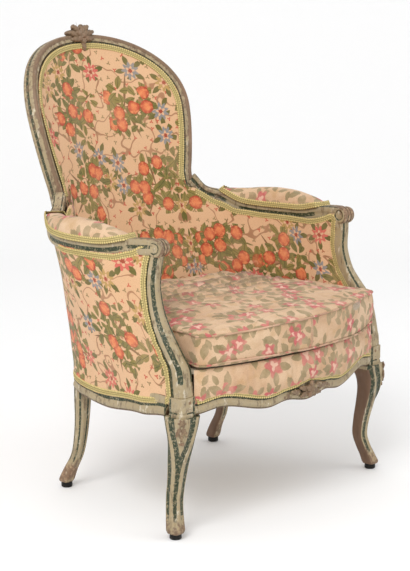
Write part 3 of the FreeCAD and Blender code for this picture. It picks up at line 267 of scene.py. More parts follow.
def opening_top(x):
    """Top of the frame's opening over a place of the back."""
    rise = CREST_HEIGHT - FRAME_FACE - SHOULDER_HEIGHT
    share = min(abs(x) / SHOULDER_HALF_WIDTH, 1.0)
    return SHOULDER_HEIGHT + rise * (1 - share ** ARCH_FULLNESS) ** (1 / ARCH_FULLNESS)


def opening_half_width(z):
    """Half width of the frame's opening below its shoulder."""
    drop = (SHOULDER_HEIGHT - z) / (SHOULDER_HEIGHT - WAIST_HEIGHT)
    return SHOULDER_HALF_WIDTH - (SHOULDER_HALF_WIDTH - WAIST_HALF_WIDTH) * clamp(drop) ** 1.5


def arch_place(angle):
    """Place on the opening's arch, 0 at the crest and a quarter turn at the shoulder."""
    x = SHOULDER_HALF_WIDTH * math.sin(angle)
    return x, opening_top(x)


def opening_edge(bottom, low_steps, arch_steps):
    """Places round the frame's opening from the right foot of it over to the left one."""
    half = []
    for index in range(low_steps):
        z = mix(bottom, SHOULDER_HEIGHT, index / low_steps)
        half.append((opening_half_width(z), z))
    for index in range(arch_steps + 1):
        half.append(arch_place(math.pi / 2 * (1 - index / arch_steps)))
    return half + [(-x, z) for x, z in reversed(half[:-1])]


def front_bow(x):
    """Face of the front rail in plan."""
    return BOW_ENDS - BOW_DEPTH * (1 - (x / BOW_HALF_WIDTH) ** 2)


def front_outward(x):
    """Direction out of the front rail's face."""
    slope = 2 * BOW_DEPTH * x / BOW_HALF_WIDTH ** 2
    return Vector((slope, -1, 0)).normalized()


def front_rail_bottom(x):
    """Wavy under side of the front rail."""
    stops = ((0, 234), (62, 243), (112, 236), (224, 255), (BOW_HALF_WIDTH, 246))
    return through(stops, abs(x))


def side_rail_bottom(share):
    """Wavy under side of the side rail, from its front end."""
    return through(((0, 243), (0.25, 231.5), (0.6, 220), (1, 227)), share)


def offset_plan(points, offset):
    """Plan points moved sideways, away from the seat when positive."""
    moved = []
    last = len(points) - 1
    for index, point in enumerate(points):
        run = (points[min(index + 1, last)] - points[max(index - 1, 0)]).normalized()
        moved.append(point + run.cross(UP) * offset)
    return moved


def plan_curve(points, count):
    """Evenly spaced places on the smooth curve through plan points."""
    keys = [(point[0], point[1], 0.0) for point in points]
    return [Vector(row) for row in curve_through(keys, count)]


# Swept wood

SIDES = 112

# The turn at which a section shows its outer front corner
OUTER_CORNER = 1.0


def section_base(round_power, turn):
    """Point and outward direction on a rounded square; turn runs 0 to 4 round its faces."""
    face = int(turn) % 4
    along = (turn - int(turn)) * 2 - 1
    corners = ((along, -1), (1, along), (-along, 1), (-1, -along))
    x, y = corners[face]
    reach = (abs(x) ** round_power + abs(y) ** round_power) ** (1 / round_power)
    x, y = x / reach, y / reach
    nx = math.copysign(abs(x) ** (round_power - 1), x)
    ny = math.copysign(abs(y) ** (round_power - 1), y)
    size = math.hypot(nx, ny)
    return x, y, nx / size, ny / size


class Shell:
    """Points, UVs, shades and faces of a closed piece, gathered one by one."""

    def __init__(self):
        self.points = []
        self.uvs = []
        self.shades = {}
        self.faces = []

    def add(self, place, uv, **shades):
        """One more point, with its UV and its shade values."""
        self.points.append(place)
        self.uvs.append(uv)
        for name, value in shades.items():
            self.shades.setdefault(name, []).append(value)

    def join(self, low, high, sides, flipped=False):
        """Faces between two closed rings, each given by its first point."""
        for side in range(sides):
            after = (side + 1) % sides
            a, b, c, d = low + side, low + after, high + after, high + side
            self.faces.append((a, d, c, b) if flipped else (a, b, c, d))

    def tube(self, start, rings, sides):
        """Faces between rings of points that follow one another."""
        for ring in range(rings - 1):
            low = start + ring * sides
            self.join(low, low + sides, sides)

    def build(self, name):
        """The finished piece, its faces turned outward."""
        obj = new_mesh(name, self.points, self.faces, self.uvs, self.shades)
        if turned_inside_out(obj):
            obj.data.flip_normals()
        return obj


def sweep(name, keys, count, detail, round_power, sides=SIDES):
    """A moulded bar through keys: centre, across, upward (3 numbers each), width and depth.

    The detail function gets the turn round the section, the share along the bar and its
    place, and returns relief in millimetres and the green, worn and bare shades.
    """
    shell = Shell()
    run = 0.0
    before = None
    base = [section_base(round_power, 4 * side / sides) for side in range(sides)]
    for index, row in enumerate(curve_through(keys, count)):
        centre = Vector(row[0:3])
        across = Vector(row[3:6]).normalized()
        upward = Vector(row[6:9])
        upward = (upward - across * upward.dot(across)).normalized()
        width, depth = row[9:11]
        if before is not None:
            run += (centre - before).length
        before = centre
        share = index / (count - 1)
        for side, (x, y, nx, ny) in enumerate(base):
            turn = 4 * side / sides
            relief, green, worn, bare = detail(turn, share, centre)
            place = centre + across * (x * width / 2 + nx * relief)
            place += upward * (y * depth / 2 + ny * relief)
            uv = (turn / 4 * 2 * (width + depth) * MM, run * MM)
            shell.add(place, uv, green=green, worn=worn, bare=bare)
    shell.tube(0, count, sides)
    shell.faces.append(tuple(reversed(range(sides))))
    shell.faces.append(tuple(range((count - 1) * sides, count * sides)))
    return shell.build(name)


def turned_inside_out(obj):
    """True if a closed mesh's faces look inward."""
    volume = 0.0
    mesh = obj.data
    mesh.calc_loop_triangles()
    for triangle in mesh.loop_triangles:
        a, b, c = [mesh.vertices[index].co for index in triangle.vertices]
        volume += a.dot(b.cross(c))
    return volume < 0


def key(centre, across, upward, width, depth):
    """One row of keys for a swept bar."""
    return tuple(centre) + tuple(across) + tuple(upward) + (width, depth)


def level_key(x, y, z, width):
    """A key with a square, horizontal section."""
    return key((x, y, z), (1, 0, 0), (0, 1, 0), width, width)


def nearest_turn(turn, target):
    """Signed distance round the section from a target."""
    away = (turn - target) % 4
    return away - 4 if away > 2 else away


def lines(turn, marks):
    """Relief and green of several beads and grooves.

    A mark is where it lies round the section, its half width, its relief and its green.
    """
    relief = 0.0
    green = 0.0
    for target, half, height, paint in marks:
        amount = lobe(nearest_turn(turn, target), 0.0, half)
        relief += height * amount
        away = nearest_turn(turn, target)
        green = max(green, paint * band(away, -0.72 * half, 0.72 * half, 0.35 * half))
    return relief, green


def upright_keys(x, y, stations):
    """Keys of an upright bar from stations: height, how far out and back, and width."""
    return [level_key(x + out, y + back, z, width) for z, out, back, width in stations]


def front_leg():
    """Cabriole leg; its outer front corner carries the beads and the green lines."""
    stations = (
        (FOOT_BASE, 16.5, 2.5, 27), (17, 16, 3, 31), (31, 13, 7, 30.5), (54, 6, 15, 29),
        (80, 0, 20, 29), (115, -1, 16, 31), (155, 1.5, 8, 36), (190, 3, 0.5, 43),
        (214, 2.5, -1, 50), (232, -1, 1.5, 56), (246, -4, 4, 60),
    )
    widest = 0.52

    def detail(turn, share, place):
        z = place.z
        spread = widest * smooth((z - 128) / 100)
        corner = nearest_turn(turn, OUTER_CORNER)
        groove = mix(0.3, 0.2, spread / widest)
        marks = []
        for sign, outermost in ((1, 0.24), (-1, 0.22)):
            marks += [
                (OUTER_CORNER + sign * spread, groove, -1.9, 1.0),
                (OUTER_CORNER + sign * (spread + 0.36), 0.19, 1.3, 0.0),
                (OUTER_CORNER + sign * (spread * 0.5 + 0.7), outermost, -1.4, 1.0),
            ]
        relief, green = lines(turn, marks)
        fade = smooth((z - 14) / 20)
        bare = smooth((abs(corner) - 0.95) / 0.12) * (1.0 if z < 236 else 0.4)
        worn = 0.75 * (1 - smooth((z - 20) / 60)) + 0.25 * band(abs(corner), 0.8, 1.1, 0.1)
        return relief * fade, green * mix(0.35, 1.0, smooth((z - 25) / 50)), worn, bare

    keys = upright_keys(BLOCK_X, BLOCK_Y, stations)
    return sweep("front_leg_right_wood", keys, 90, detail, 4.2)


def leg_block():
    """Square block over the leg that the rails join."""
    stations = ((236, 0, 0, BLOCK_WIDTH + 1), (262, 0, 0, BLOCK_WIDTH), (BLOCK_TOP, 0, 0, BLOCK_WIDTH))

    def detail(turn, share, place):
        groove = lobe(place.z, 255, 3.2)
        corner = abs(nearest_turn(turn, OUTER_CORNER))
        edge = lobe(corner, 0.86, 0.13)
        relief = -1.4 * groove - 0.8 * edge
        green = max(0.9 * groove * band(corner, 0.35, 1.2, 0.1), smooth(edge * 2))
        return relief, green, 0.3, 0.0

    keys = upright_keys(BLOCK_X, BLOCK_Y, stations)
    return sweep("leg_block_right_wood", keys, 40, detail, 8.0)


def arm_post():
    """Curved post with two beads between green grooves."""
    middle = 1.02

    def detail(turn, share, place):
        fade = smooth((place.z - 306) / 16)
        marks = [
            (middle + 0.02, 0.33, -2.8 * fade, fade),
            (middle - 0.5, 0.28, 1.7 * fade, 0.0),
            (middle + 0.45, 0.2, 1.7, 0.0),
            (middle + 0.78, 0.26, -2.0, 1.0),
            (middle - 0.88, 0.17, -1.4 * fade, fade),
        ]
        relief, green = lines(turn, marks)
        return relief, green, 0.28 + 0.2 * (1 - fade), 0.7 * band(turn, 2.1, 3.0, 0.1)

    keys = upright_keys(BLOCK_X, BLOCK_Y, POST_STATIONS)
    return sweep("arm_post_right_wood", keys, 110, detail, 4.0)


def pad_frames():
    """The part of the arm that carries the pad."""
    return arm_frames()[1:7]


def arm_frames():
    """Centre, sideways and upward direction, width and depth along the arm."""
    shape = (
        ("neck", 14, 30, 33), ("pad_front", 9.8, 36, 33), ("front", 2, 48, ARM_DEPTH),
        ("middle", 0, 52, ARM_DEPTH), ("rear", 0, 52, ARM_DEPTH), ("turn", 5.6, 44, ARM_DEPTH),
        ("collar", 27, 32, ARM_DEPTH), ("sweep", 40.5, 25, FRAME_DEPTH), ("root", 70.2, 25, FRAME_DEPTH),
    )
    places = [Vector((*ARM_PLAN[name], ARM_HEIGHT + lift)) for name, lift, _, _ in shape]
    frames = []
    last = len(places) - 1
    for index, (_, _, width, depth) in enumerate(shape):
        run = (places[min(index + 1, last)] - places[max(index - 1, 0)]).normalized()
        sideways = run.cross(UP).normalized()
        frames.append((places[index], sideways, sideways.cross(run), width, depth))
    return frames


SCROLL = Vector((292, -174, 569))


def arm_rail():
    """Arm from its scroll back to the stile, with a green line along each side."""
    frames = arm_frames()
    keys = [key(SCROLL + Vector((0, 2, 1)), frames[0][1], frames[0][2], 27, 29)]
    keys += [key(*station) for station in frames]

    def detail(turn, share, place):
        y = place.y
        padded = band(y, -100, 118, 30)
        front = 1 - smooth((y + 120) / 20)
        rear = smooth((y - 130) / 30)
        marks = [
            (1.5, 0.2, -1.2, max(padded, rear * 0.8)),
            (3.5, 0.2, -1.2, max(padded, rear * 0.9)),
            (2.55, 0.16, -1.3 * front, 0.9 * front),
            (2.12, 0.2, 1.0 * front, 0.0),
            (1.55, 0.16, -1.3 * front, 0.9 * front),
            (2.9, 0.16, 0.0, 0.9 * front),
            (2.1, 0.13, -1.0 * rear, 0.75 * rear),
            (2.9, 0.13, -1.0 * rear, 0.75 * rear),
        ]
        relief, green = lines(turn, marks)
        worn = 0.25 + 0.6 * front * band(turn, 2.0, 3.0, 0.3) + 0.35 * rear
        return relief, green, worn, 0.0

    return sweep("arm_rail_right_wood", keys, 150, detail, 4.5)


def scroll():
    """Carved scroll on the end of the arm, round an axis across the arm."""
    axis = arm_frames()[0][1]
    ahead = axis.cross(UP).normalized()
    rings, sides, length, steps = 26, 64, 29, 12
    shell = Shell()

    def add(out, radius, angle, uv, green, worn):
        ray = UP * math.cos(angle) + ahead * math.sin(angle)
        place = SCROLL + axis * out + ray * max(radius, 0.02)
        shell.add(place, uv, green=green, worn=worn, bare=0.0)

    for ring in range(rings):
        across = ring / (rings - 1) * 2 - 1
        bulge = 18.4 * (1 - 0.1 * max(abs(across) - 0.55, 0) ** 2 * 6)
        groove = lobe(across, -0.28, 0.17) + lobe(across, 0.28, 0.17)
        out = across * length / 2
        for side in range(sides):
            angle = 2 * math.pi * side / sides
            leaf = 0.35 * math.cos(9 * angle) * lobe(across, 0, 0.3)
            radius = bulge - 1.5 * groove + leaf
            add(out, radius, angle, (angle * radius * MM, out * MM), smooth(groove * 1.6), 0.78)
    shell.tube(0, rings, sides)
    for previous, sign in ((0, -1), ((rings - 1) * sides, 1)):
        for step in range(1, steps + 1):
            share = step / steps
            current = len(shell.points)
            depth = 2.2 * math.sin(math.pi * share * 2.5) * (1 - share) - 2.0 * share
            radius = 17.5 * (1 - share)
            for side in range(sides):
                angle = 2 * math.pi * side / sides
                spiral = 0.9 * math.cos(angle - share * 7)
                out = sign * (length / 2 + (depth + spiral * (1 - share)) * 0.7)
                green = smooth(lobe(share, 0.42 + 0.1 * math.sin(angle), 0.13) * 1.5)
                add(out, radius, angle, (angle * radius * MM, radius * MM), green, 0.5)
            shell.join(previous, current, sides, sign > 0)
            previous = current
    return shell.build("arm_scroll_right_wood")


def stile_key(x, z, near, far):
    """Key of the back frame's section at a place of its opening."""
    normal = back_normal(x, z)
    run = (on_back(*far) - on_back(*near)).normalized()
    outward = run.cross(normal).normalized()
    if outward.x * (1 if x > 0 else -1) + outward.z < 0:
        outward = -outward
    centre = on_back(x, z) + outward * (FRAME_FACE / 2) + normal * (FRAME_DEPTH / 2)
    return key(centre, outward, normal, FRAME_FACE, FRAME_DEPTH)


def back_frame_detail(turn, share, place):
    """Mouldings of the back frame: 0 to 1 is its face from the opening outward."""
    marks = (
        (0.12, 0.16, -1.1, 1.0),
        (0.42, 0.2, -0.9, 0.0),
        (0.56, 0.08, -0.6, 0.5),
        (0.9, 0.32, 1.6, 0.0),
        (1.62, 0.16, -1.3, 0.9),
        (1.3, 0.2, 0.7, 0.0),
        (2.3, 0.2, 0.6, 0.0),
    )
    relief, green = lines(turn, marks)
    worn = 0.42 + 0.42 * band(turn, 0.6, 1.15, 0.2)
    bare = 0.45 * band(turn, 2.2, 3.9, 0.2)
    return relief, green, worn, bare


def back_frame_half(edge):
    """Keys of the back frame's right half, from its foot at the waist up to the crest's middle."""
    keys = []
    for index, (x, z) in enumerate(edge[:len(edge) // 2 + 1]):
        keys.append(stile_key(x, z, edge[max(index - 1, 0)], edge[index + 1]))
    return keys


def stile_and_crest():
    """The arched back frame: one moulded bar from waist to waist, cut at the crest's joints."""
    joint = math.asin(CREST_JOINT_SHARE)
    edge = opening_edge(STILE_FOOT, 9, 16)
    right = []
    crest = []
    for row, (x, z) in zip(back_frame_half(edge), edge):
        angle = math.asin(clamp(x / SHOULDER_HALF_WIDTH)) if z > SHOULDER_HEIGHT else math.pi / 2
        (right if angle >= joint - 0.001 else crest).append(row)
    x, z = arch_place(joint)
    seam = stile_key(x, z, arch_place(joint + 0.03), arch_place(joint - 0.03))
    stile = sweep("rear_upright_right_stile", right + [seam], 130, back_frame_detail, 4.0)
    crest = [seam] + crest
    other = []
    for row in reversed(crest[:-1]):
        other.append(tuple(-value if slot in (0, 3, 6) else value for slot, value in enumerate(row)))
    top = sweep("crest_rail_wood", crest + other, 130, back_frame_detail, 4.0)
    return stile, top


def rear_leg():
    """Rear leg below the rail, with its outer bead and worn side."""
    stations = (
        (FOOT_BASE, 8.2, 46, 24), (17, 8, 45, 28), (42, 5.6, 34, 25.5), (78, 3.2, 15, 23),
        (115, 1, 7, 24.5), (160, 0, 2, 27), (200, 0, 0, 30), (226, 0, -1, 31), (262, 0, -1, 30),
    )

    def detail(turn, share, place):
        marks = (
            (1.22, 0.15, -1.2, 1.0),
            (1.5, 0.2, 1.0, 0.0),
            (1.82, 0.13, -0.9, 0.8),
            (0.78, 0.18, 0.8, 0.0),
            (0.42, 0.13, -0.8, 0.8),
        )
        relief, green = lines(turn, marks)
        low = smooth((place.z - 30) / 60)
        bare = smooth((abs(nearest_turn(turn, 1.2)) - 1.05) / 0.1)
        return relief * low, green * low, 0.8 - 0.4 * low, bare

    keys = upright_keys(REAR_LEG_X, REAR_LEG_Y, stations)
    return sweep("rear_upright_right_leg", keys, 80, detail, 4.0)


# Relief, green, worn and bare of wood that was never painted
BARE_ONLY = (0.0, 0.0, 0.5, 1.0)


def hidden_upright():
    """The part of the upright inside the upholstery."""
    keys = []
    for share in (0.0, 0.3, 0.6, 0.9, 1.15):
        z = mix(262, 590, share / 1.15)
        x = mix(REAR_LEG_X, 206, share / 1.15)
        normal = back_normal(x, z)
        level = Vector((normal.x, normal.y, 0)).normalized()
        keys.append(key(on_back(x, z, 12), Vector((level.y, -level.x, 0)), level, 24, 17))
    return sweep("rear_upright_right_core", keys, 20, lambda turn, share, place: BARE_ONLY, 4.0, 24)


def rail_face(turn, tall, bead, groove, lip_top):
    """Bead, groove and green lines over a rail's lower edge, on its outer face only.

    The bead is its height, half width and relief; the groove is its height and the two ends
    of its green line.
    """
    if not 2 <= turn < 3:
        return 0.0, 0.0, 0.4, 1.0
    height = (1 - (turn - 2)) * tall
    middle, half, rise = bead
    relief = rise * lobe(height, middle, half)
    relief -= 1.4 * lobe(height, groove[0], 5) + 1.6 * lobe(height, 0.5, 3.8)
    green = max(band(height, *groove[1:], 1.4), band(height, -2, lip_top, 1.2))
    return relief, green, 0.3, 0.0


def front_rail():
    """Bowed front rail with a bead along its waved lower edge."""
    keys = []
    for index in range(61):
        x = mix(-286, 286, index / 60)
        low = front_rail_bottom(x)
        outward = front_outward(x)
        centre = Vector((x, front_bow(x), (low + RAIL_TOP) / 2)) - outward * 18
        keys.append(key(centre, UP, outward, RAIL_TOP - low, 36))

    def detail(turn, share, place):
        tall = RAIL_TOP - front_rail_bottom(place.x)
        return rail_face(turn, tall, (10, 8.5, 2.2), (22, 18.6, 26), 2.6)

    return sweep("front_rail_wood", keys, 200, detail, 9.0, 120)


def side_rail():
    """Side rail with the same bead along its lower edge."""
    steps = 30
    outer = plan_curve(RAIL_PLAN, steps + 1)
    keys = []
    for index, place in enumerate(outer):
        run = (outer[min(index + 1, steps)] - outer[max(index - 1, 0)]).normalized()
        outward = run.cross(UP).normalized()
        low = side_rail_bottom(index / steps)
        centre = Vector((place.x, place.y, (low + RAIL_TOP) / 2)) + outward
        keys.append(key(centre, UP, outward, RAIL_TOP - low, 32))

    def detail(turn, share, place):
        tall = RAIL_TOP - side_rail_bottom(share)
        return rail_face(turn, tall, (10.5, 9, 2.0), (23, 19.6, 27), 2.8)

    return sweep("side_rail_right_wood", keys, 110, detail, 9.0, 120)


# Upholstery shapes

ARM_KEYS = list(ARM_PLAN.values())


def at_floor(pair):
    """A plan place as a vector."""
    return Vector((pair[0], pair[1], 0))


class Panel:
    """A curved cover as columns of points, with its direction out of the stuffing."""

    def __init__(self, columns, towards):
        self.columns = columns
        self.towards = Vector(towards)
        self.last_c = len(columns) - 1
        self.last_r = len(columns[0]) - 1
        self.normals = self.find_normals()

    def find_normals(self):
        """Unit normals of all points, on the side of the given direction."""
        result = []
        for c, here in enumerate(self.columns):
            before = self.columns[max(c - 1, 0)]
            after = self.columns[min(c + 1, self.last_c)]
            line = []
            for r in range(self.last_r + 1):
                upward = here[min(r + 1, self.last_r)] - here[max(r - 1, 0)]
                normal = (after[r] - before[r]).cross(upward)
                if normal.length < 1e-9:
                    normal = self.towards.copy()
                line.append(normal.normalized())
            result.append(line)
        middle = result[self.last_c // 2][self.last_r // 2]
        if middle.dot(self.towards) < 0:
            result = [[-normal for normal in line] for line in result]
        return result

    def moved(self, amount):
        """The same panel moved along its normals by a function of its shares and place."""
        result = []
        for c, line in enumerate(self.columns):
            result.append([
                point + self.normals[c][r] * amount(c / self.last_c, r / self.last_r, point)
                for r, point in enumerate(line)
            ])
        return Panel(result, self.towards)

    def at(self, u, v):
        """Point and normal at shares along and up the panel."""
        x = clamp(u) * self.last_c
        y = clamp(v) * self.last_r
        c = min(int(x), self.last_c - 1)
        r = min(int(y), self.last_r - 1)
        result = []
        for table in (self.columns, self.normals):
            low = table[c][r].lerp(table[c + 1][r], x - c)
            high = table[c][r + 1].lerp(table[c + 1][r + 1], x - c)
            result.append(low.lerp(high, y - r))
        return result[0], result[1].normalized()

    def mesh(self, name, thickness, start_u=0.0):
        """A closed skin this thick behind the panel, with UVs in metres."""
        shell = Shell()
        count_c = self.last_c + 1
        count_r = self.last_r + 1
        middle = count_r // 2
        lengths = [start_u]
        for before, after in zip(self.columns, self.columns[1:]):
            lengths.append(lengths[-1] + (after[middle] - before[middle]).length)
        for depth in (0.0, thickness):
            for line, normals, length in zip(self.columns, self.normals, lengths):
                for point, normal in zip(line, normals):
                    shell.add(point - normal * depth, (length * MM, point.z * MM))
        half = count_c * count_r
        for c in range(self.last_c):
            for r in range(self.last_r):
                a = c * count_r + r
                b = a + count_r
                shell.faces.append((a, b, b + 1, a + 1))
                shell.faces.append((half + a, half + a + 1, half + b + 1, half + b))
        rim = [c * count_r for c in range(count_c)]
        rim += [self.last_c * count_r + r for r in range(1, count_r)]
        rim += [c * count_r + self.last_r for c in range(count_c - 2, -1, -1)]
        rim += list(range(count_r - 2, 0, -1))
        for a, b in zip(rim, rim[1:] + rim[:1]):
            shell.faces.append((a, half + a, half + b, b))
        return shell.build(name)

    def size(self):
        """Longest way along the panel's lower half and up the panel, in metres."""
        rows = [list(row) for row in zip(*self.columns)][:len(self.columns[0]) // 2 + 1]
        longest = []
        for runs in (rows, self.columns):
            lengths = [sum((b - a).length for a, b in zip(run, run[1:])) for run in runs]
            longest.append(max(lengths) * MM)
        return longest

    def area(self):
        """Area of the panel's face in square metres."""
        total = 0.0
        for near, far in zip(self.columns, self.columns[1:]):
            for r in range(self.last_r):
                total += ((far[r + 1] - near[r]).cross(far[r] - near[r + 1])).length / 2
        return total * MM * MM


def panel_of(columns, rows, place_at, towards):
    """A panel from the place at each share along and up it."""
    places = []
    for column in range(columns + 1):
        places.append([place_at(column / columns, row / rows) for row in range(rows + 1)])
    return Panel(places, towards)


def cloth_noise(amount, scale, seed):
    """A move along the normal that makes stretched cloth a little uneven."""

    def move(u, v, place):
        return amount * noise.noise(place * scale + Vector((seed, seed, seed)))

    return move


# The back's covers


def pad_base(z):
    """Rear of the back's stuffing behind the frame's face."""
    foot = 330
    return mix(2, 14, smooth((z - foot) / (WAIST_HEIGHT - foot)))


def outside_depth(z):
    """Outside cover behind the frame's face."""
    return mix(33, 25, smooth((z - RAIL_TOP) / (ARM_HEIGHT - RAIL_TOP)))


def outside_half_width(z):
    """Half width of the outside back cover."""
    if z > WAIST_HEIGHT:
        return opening_half_width(z)
    return mix(COVER_HALF_FOOT, WAIST_HALF_WIDTH, (z - RAIL_TOP) / (WAIST_HEIGHT - RAIL_TOP))


def back_panel(bottom, half_width_at, behind_at, crown, towards):
    """A panel that fills the frame of the back."""

    def place_at(along, share):
        angle = mix(-math.pi / 2, math.pi / 2, along)
        across = math.sin(angle)
        top = opening_top(across * SHOULDER_HALF_WIDTH * 0.995)
        z = mix(bottom, top, share)
        x = across * half_width_at(mix(bottom, SHOULDER_HEIGHT, share))
        wave = math.cos(angle) * math.sin(math.pi * share)
        return on_back(x, z, behind_at(z) - crown * wave * wave)

    return panel_of(56, 48, place_at, towards)


def inside_back_panel():
    """Stuffed front of the back."""
    panel = back_panel(COVER_FOOT, opening_half_width, lambda z: pad_base(z) - 14.5, 10, (0, -1, 0))
    return panel.moved(cloth_noise(1.6, 0.014, 3.0))


def outside_back_panel():
    """Flat rear cover."""
    panel = back_panel(256, outside_half_width, lambda z: outside_depth(z) + CLOTH, 0, (0, 1, 0))
    return panel.moved(cloth_noise(0.8, 0.012, 8.0))


# The arms' covers


def wall_panel(low_points, high_points, bottom_at, top_at, towards, side):
    """A cover between its plan at the rail and its plan at the arm."""
    last = 80
    rows = 32
    low = plan_curve(low_points, last + 1)
    high = plan_curve(high_points, last + 1)
    columns = []
    for column in range(last + 1):
        share = column / last
        line = []
        for row in range(rows + 1):
            z = mix(bottom_at(share), top_at(share), row / rows)
            lean = max(z - RAIL_TOP, 0.0) / (ARM_HEIGHT - RAIL_TOP)
            place = low[column].lerp(high[column], lean)
            start = low[0].lerp(high[0], lean)
            place.y += (post_rear(z) - 5 - start.y) * (1 - smooth(share / 0.3))
            place.x += (post_side(z, side) - start.x) * (1 - smooth(share / 0.16))
            place.z = z
            line.append(place)
        columns.append(line)
    return Panel(columns, towards)


def post_rear(z):
    """Rear face of the arm post, which a cover's front edge follows."""
    stops = [(height, BLOCK_Y + back + width / 2) for height, _, back, width in POST_STATIONS]
    return through([(262, BLOCK_Y + 19)] + stops + [(580, -160)], z)


def post_side(z, side):
    """Where a cover starts beside the post, before it is moved out over its stuffing."""
    stops = [(height, BLOCK_X + out + side * width / 2) for height, out, _, width in POST_STATIONS]
    return through(stops, z) - side * (2.5 if side > 0 else 12.5)


def inside_arm_panel():
    """Stuffed inside of the right arm; its rear end dives behind the back's cover."""
    high = offset_plan([at_floor(pair) for pair in ARM_KEYS[:7]], -16.5)
    for x, behind in ((190, -1), (168, 6)):
        high.append(Vector((x, back_y(x, ARM_HEIGHT) + behind, 0)))
    low = offset_plan([at_floor(pair) for pair in RAIL_PLAN], -10.5)[:-1]
    seam_y = back_y(188, RAIL_TOP)
    for x, behind in ((200, -17), (188, -2), (168, 6)):
        low.append(Vector((x, seam_y + behind, 0)))
    top = (
        (0, 574), (0.05, 570), (0.11, 558), (0.18, 553), (0.5, 552),
        (0.66, 556), (0.78, 574), (0.93, 606), (1, 640),
    )

    def stuff(u, v, place):
        wave = math.sin(math.pi * clamp(u / 0.94)) * math.sin(math.pi * v)
        full = mix(11.3, 9.5, smooth((u - 0.8) / 0.14)) + 7 * wave * wave
        return full + 1.5 * noise.noise(place * 0.016)

    panel = wall_panel(low, high, lambda share: COVER_FOOT, lambda share: through(top, share), -OUTWARD, -1)
    return panel.moved(stuff)


def outside_arm_panel():
    """Cover outside the right arm, round its rear corner to the back."""
    high = [Vector((BLOCK_X + 4, -150, 0))]
    high += offset_plan([at_floor(pair) for pair in ARM_KEYS[1:5]], 26.4)[1:]
    high += [Vector((296, 124, 0)), Vector((264, 156, 0)), Vector((224, 191, 0))]
    low = [Vector((BLOCK_X + 15.5, -226, 0))]
    low += offset_plan([at_floor(pair) for pair in RAIL_PLAN], 18)[1:-1]
    low.append(Vector((241, 126, 0)))
    for plan, z in ((high, ARM_HEIGHT), (low, RAIL_TOP)):
        x = outside_half_width(z)
        plan.append(Vector((x, back_y(x, z) + outside_depth(z), 0)))
    top = (
        (0, 577), (0.035, 574), (0.1, 560), (0.18, 553), (0.5, 552),
        (0.66, 557), (0.8, 574), (0.92, 592), (1, 606),
    )

    def bottom(share):
        return side_rail_bottom(share) + 26

    panel = wall_panel(low, high, bottom, lambda share: through(top, share), OUTWARD, 1)
    return panel.moved(lambda u, v, place: 1.6 + noise.noise(place * 0.013))


# Braid

BRAID_WIDTH = 12.0

# Stations of the braid along a panel's whole length or height
BRAID_STEPS = 24

# Places across the braid, -1 to 1, and how high it stands there
BRAID_PROFILE = (
    (-1.0, 0.15), (-0.86, 0.9), (-0.6, 1.15), (-0.34, 0.7), (0.0, 1.5),
    (0.34, 0.7), (0.6, 1.15), (0.86, 0.9), (1.0, 0.15),
)


def braid(name, points, normals):
    """Woven braid with scalloped edges along points that lie on a cover."""
    step = 1.3
    length = sum((b - a).length for a, b in zip(points, points[1:]))
    count = max(int(length / step), 4)
    keys = [tuple(point) + tuple(normal) for point, normal in zip(points, normals)]
    rows = curve_through(keys, count)
    wide = len(BRAID_PROFILE)
    shell = Shell()
    for index, row in enumerate(rows):
        centre = Vector(row[:3])
        normal = Vector(row[3:6]).normalized()
        before = Vector(rows[max(index - 1, 0)][:3])
        after = Vector(rows[min(index + 1, count - 1)][:3])
        across = (after - before).cross(normal).normalized()
        run = index * step
        for side, tall in BRAID_PROFILE:
            edge = abs(side)
            loop = math.cos(2 * math.pi * (run / 5.2 + 0.25 * (side > 0)))
            weave = math.cos(2 * math.pi * (run / 2.6 + edge * 1.2))
            half = BRAID_WIDTH / 2 * (1 + 0.13 * loop * edge ** 3)
            rise = tall + 0.28 * weave * (edge < 0.9) + 0.2
            # Painted light and shade: high on the loops and the middle ridge, low in the dips between them.
            ridge_and_shade = 0.5 + 0.3 * weave + 0.25 * loop * edge - 0.35 * (0.2 < edge < 0.5)
            place = centre + across * (side * half) + normal * rise
            shell.add(place, (side * half * MM, run * MM), ridge_and_shade=clamp(ridge_and_shade))
    face_count = len(shell.points)
    # Points under the braid's edges, set low for painted shade there.
    for index, row in enumerate(rows):
        normal = Vector(row[3:6]).normalized()
        for corner in (index * wide, index * wide + wide - 1):
            shell.add(shell.points[corner] - normal * 0.9, shell.uvs[corner], ridge_and_shade=0.2)
    for index in range(count - 1):
        a = index * wide
        for side in range(wide - 1):
            shell.faces.append((a + side, a + side + 1, a + side + 1 + wide, a + side + wide))
        low = face_count + index * 2
        b = a + wide - 1
        shell.faces.append((a, a + wide, low + 2, low))
        shell.faces.append((b, low + 1, low + 3, b + wide))
        shell.faces.append((low, low + 2, low + 3, low + 1))
    for index in (0, count - 1):
        low = face_count + index * 2
        cap = [index * wide + side for side in range(wide)] + [low + 1, low]
        shell.faces.append(tuple(cap) if index else tuple(reversed(cap)))
    return shell.build(name)


def braid_on_panel(name, panel, corners):
    """Braid on a panel through places given as shares, with its corners rounded off."""
    places = []
    for (u0, v0), (u1, v1) in zip(corners, corners[1:]):
        steps = max(int(BRAID_STEPS * max(abs(u1 - u0), abs(v1 - v0))), 2)
        for index in range(steps):
            share = (index + 0.5) / steps
            places.append(panel.at(mix(u0, u1, share), mix(v0, v1, share)))
    return braid(name, *zip(*places))


def arch_braid(name, panel_depth, facing, inset, bottom):
    """Braid round the opening of the back."""
    edge = opening_edge(bottom, 12, 22)
    places = []
    last = len(edge) - 1
    for index, (x, z) in enumerate(edge):
        low = edge[max(index - 1, 0)]
        high = edge[min(index + 1, last)]
        inward = Vector((-(high[1] - low[1]), 0, high[0] - low[0])).normalized()
        x += inward.x * inset
        z += inward.z * inset
        places.append((on_back(x, z, panel_depth(z)), back_normal(x, z) * facing))
    return braid(name, *zip(*places))


# Arm pads

PAD_HEIGHTS = (6, 27, 37, 38, 28, 7)
PAD_BRAID_LIFT = 3.5


def pad_half_width(width):
    """Half width of the pad on an arm this wide."""
    return min(width + 5, 56) / 2


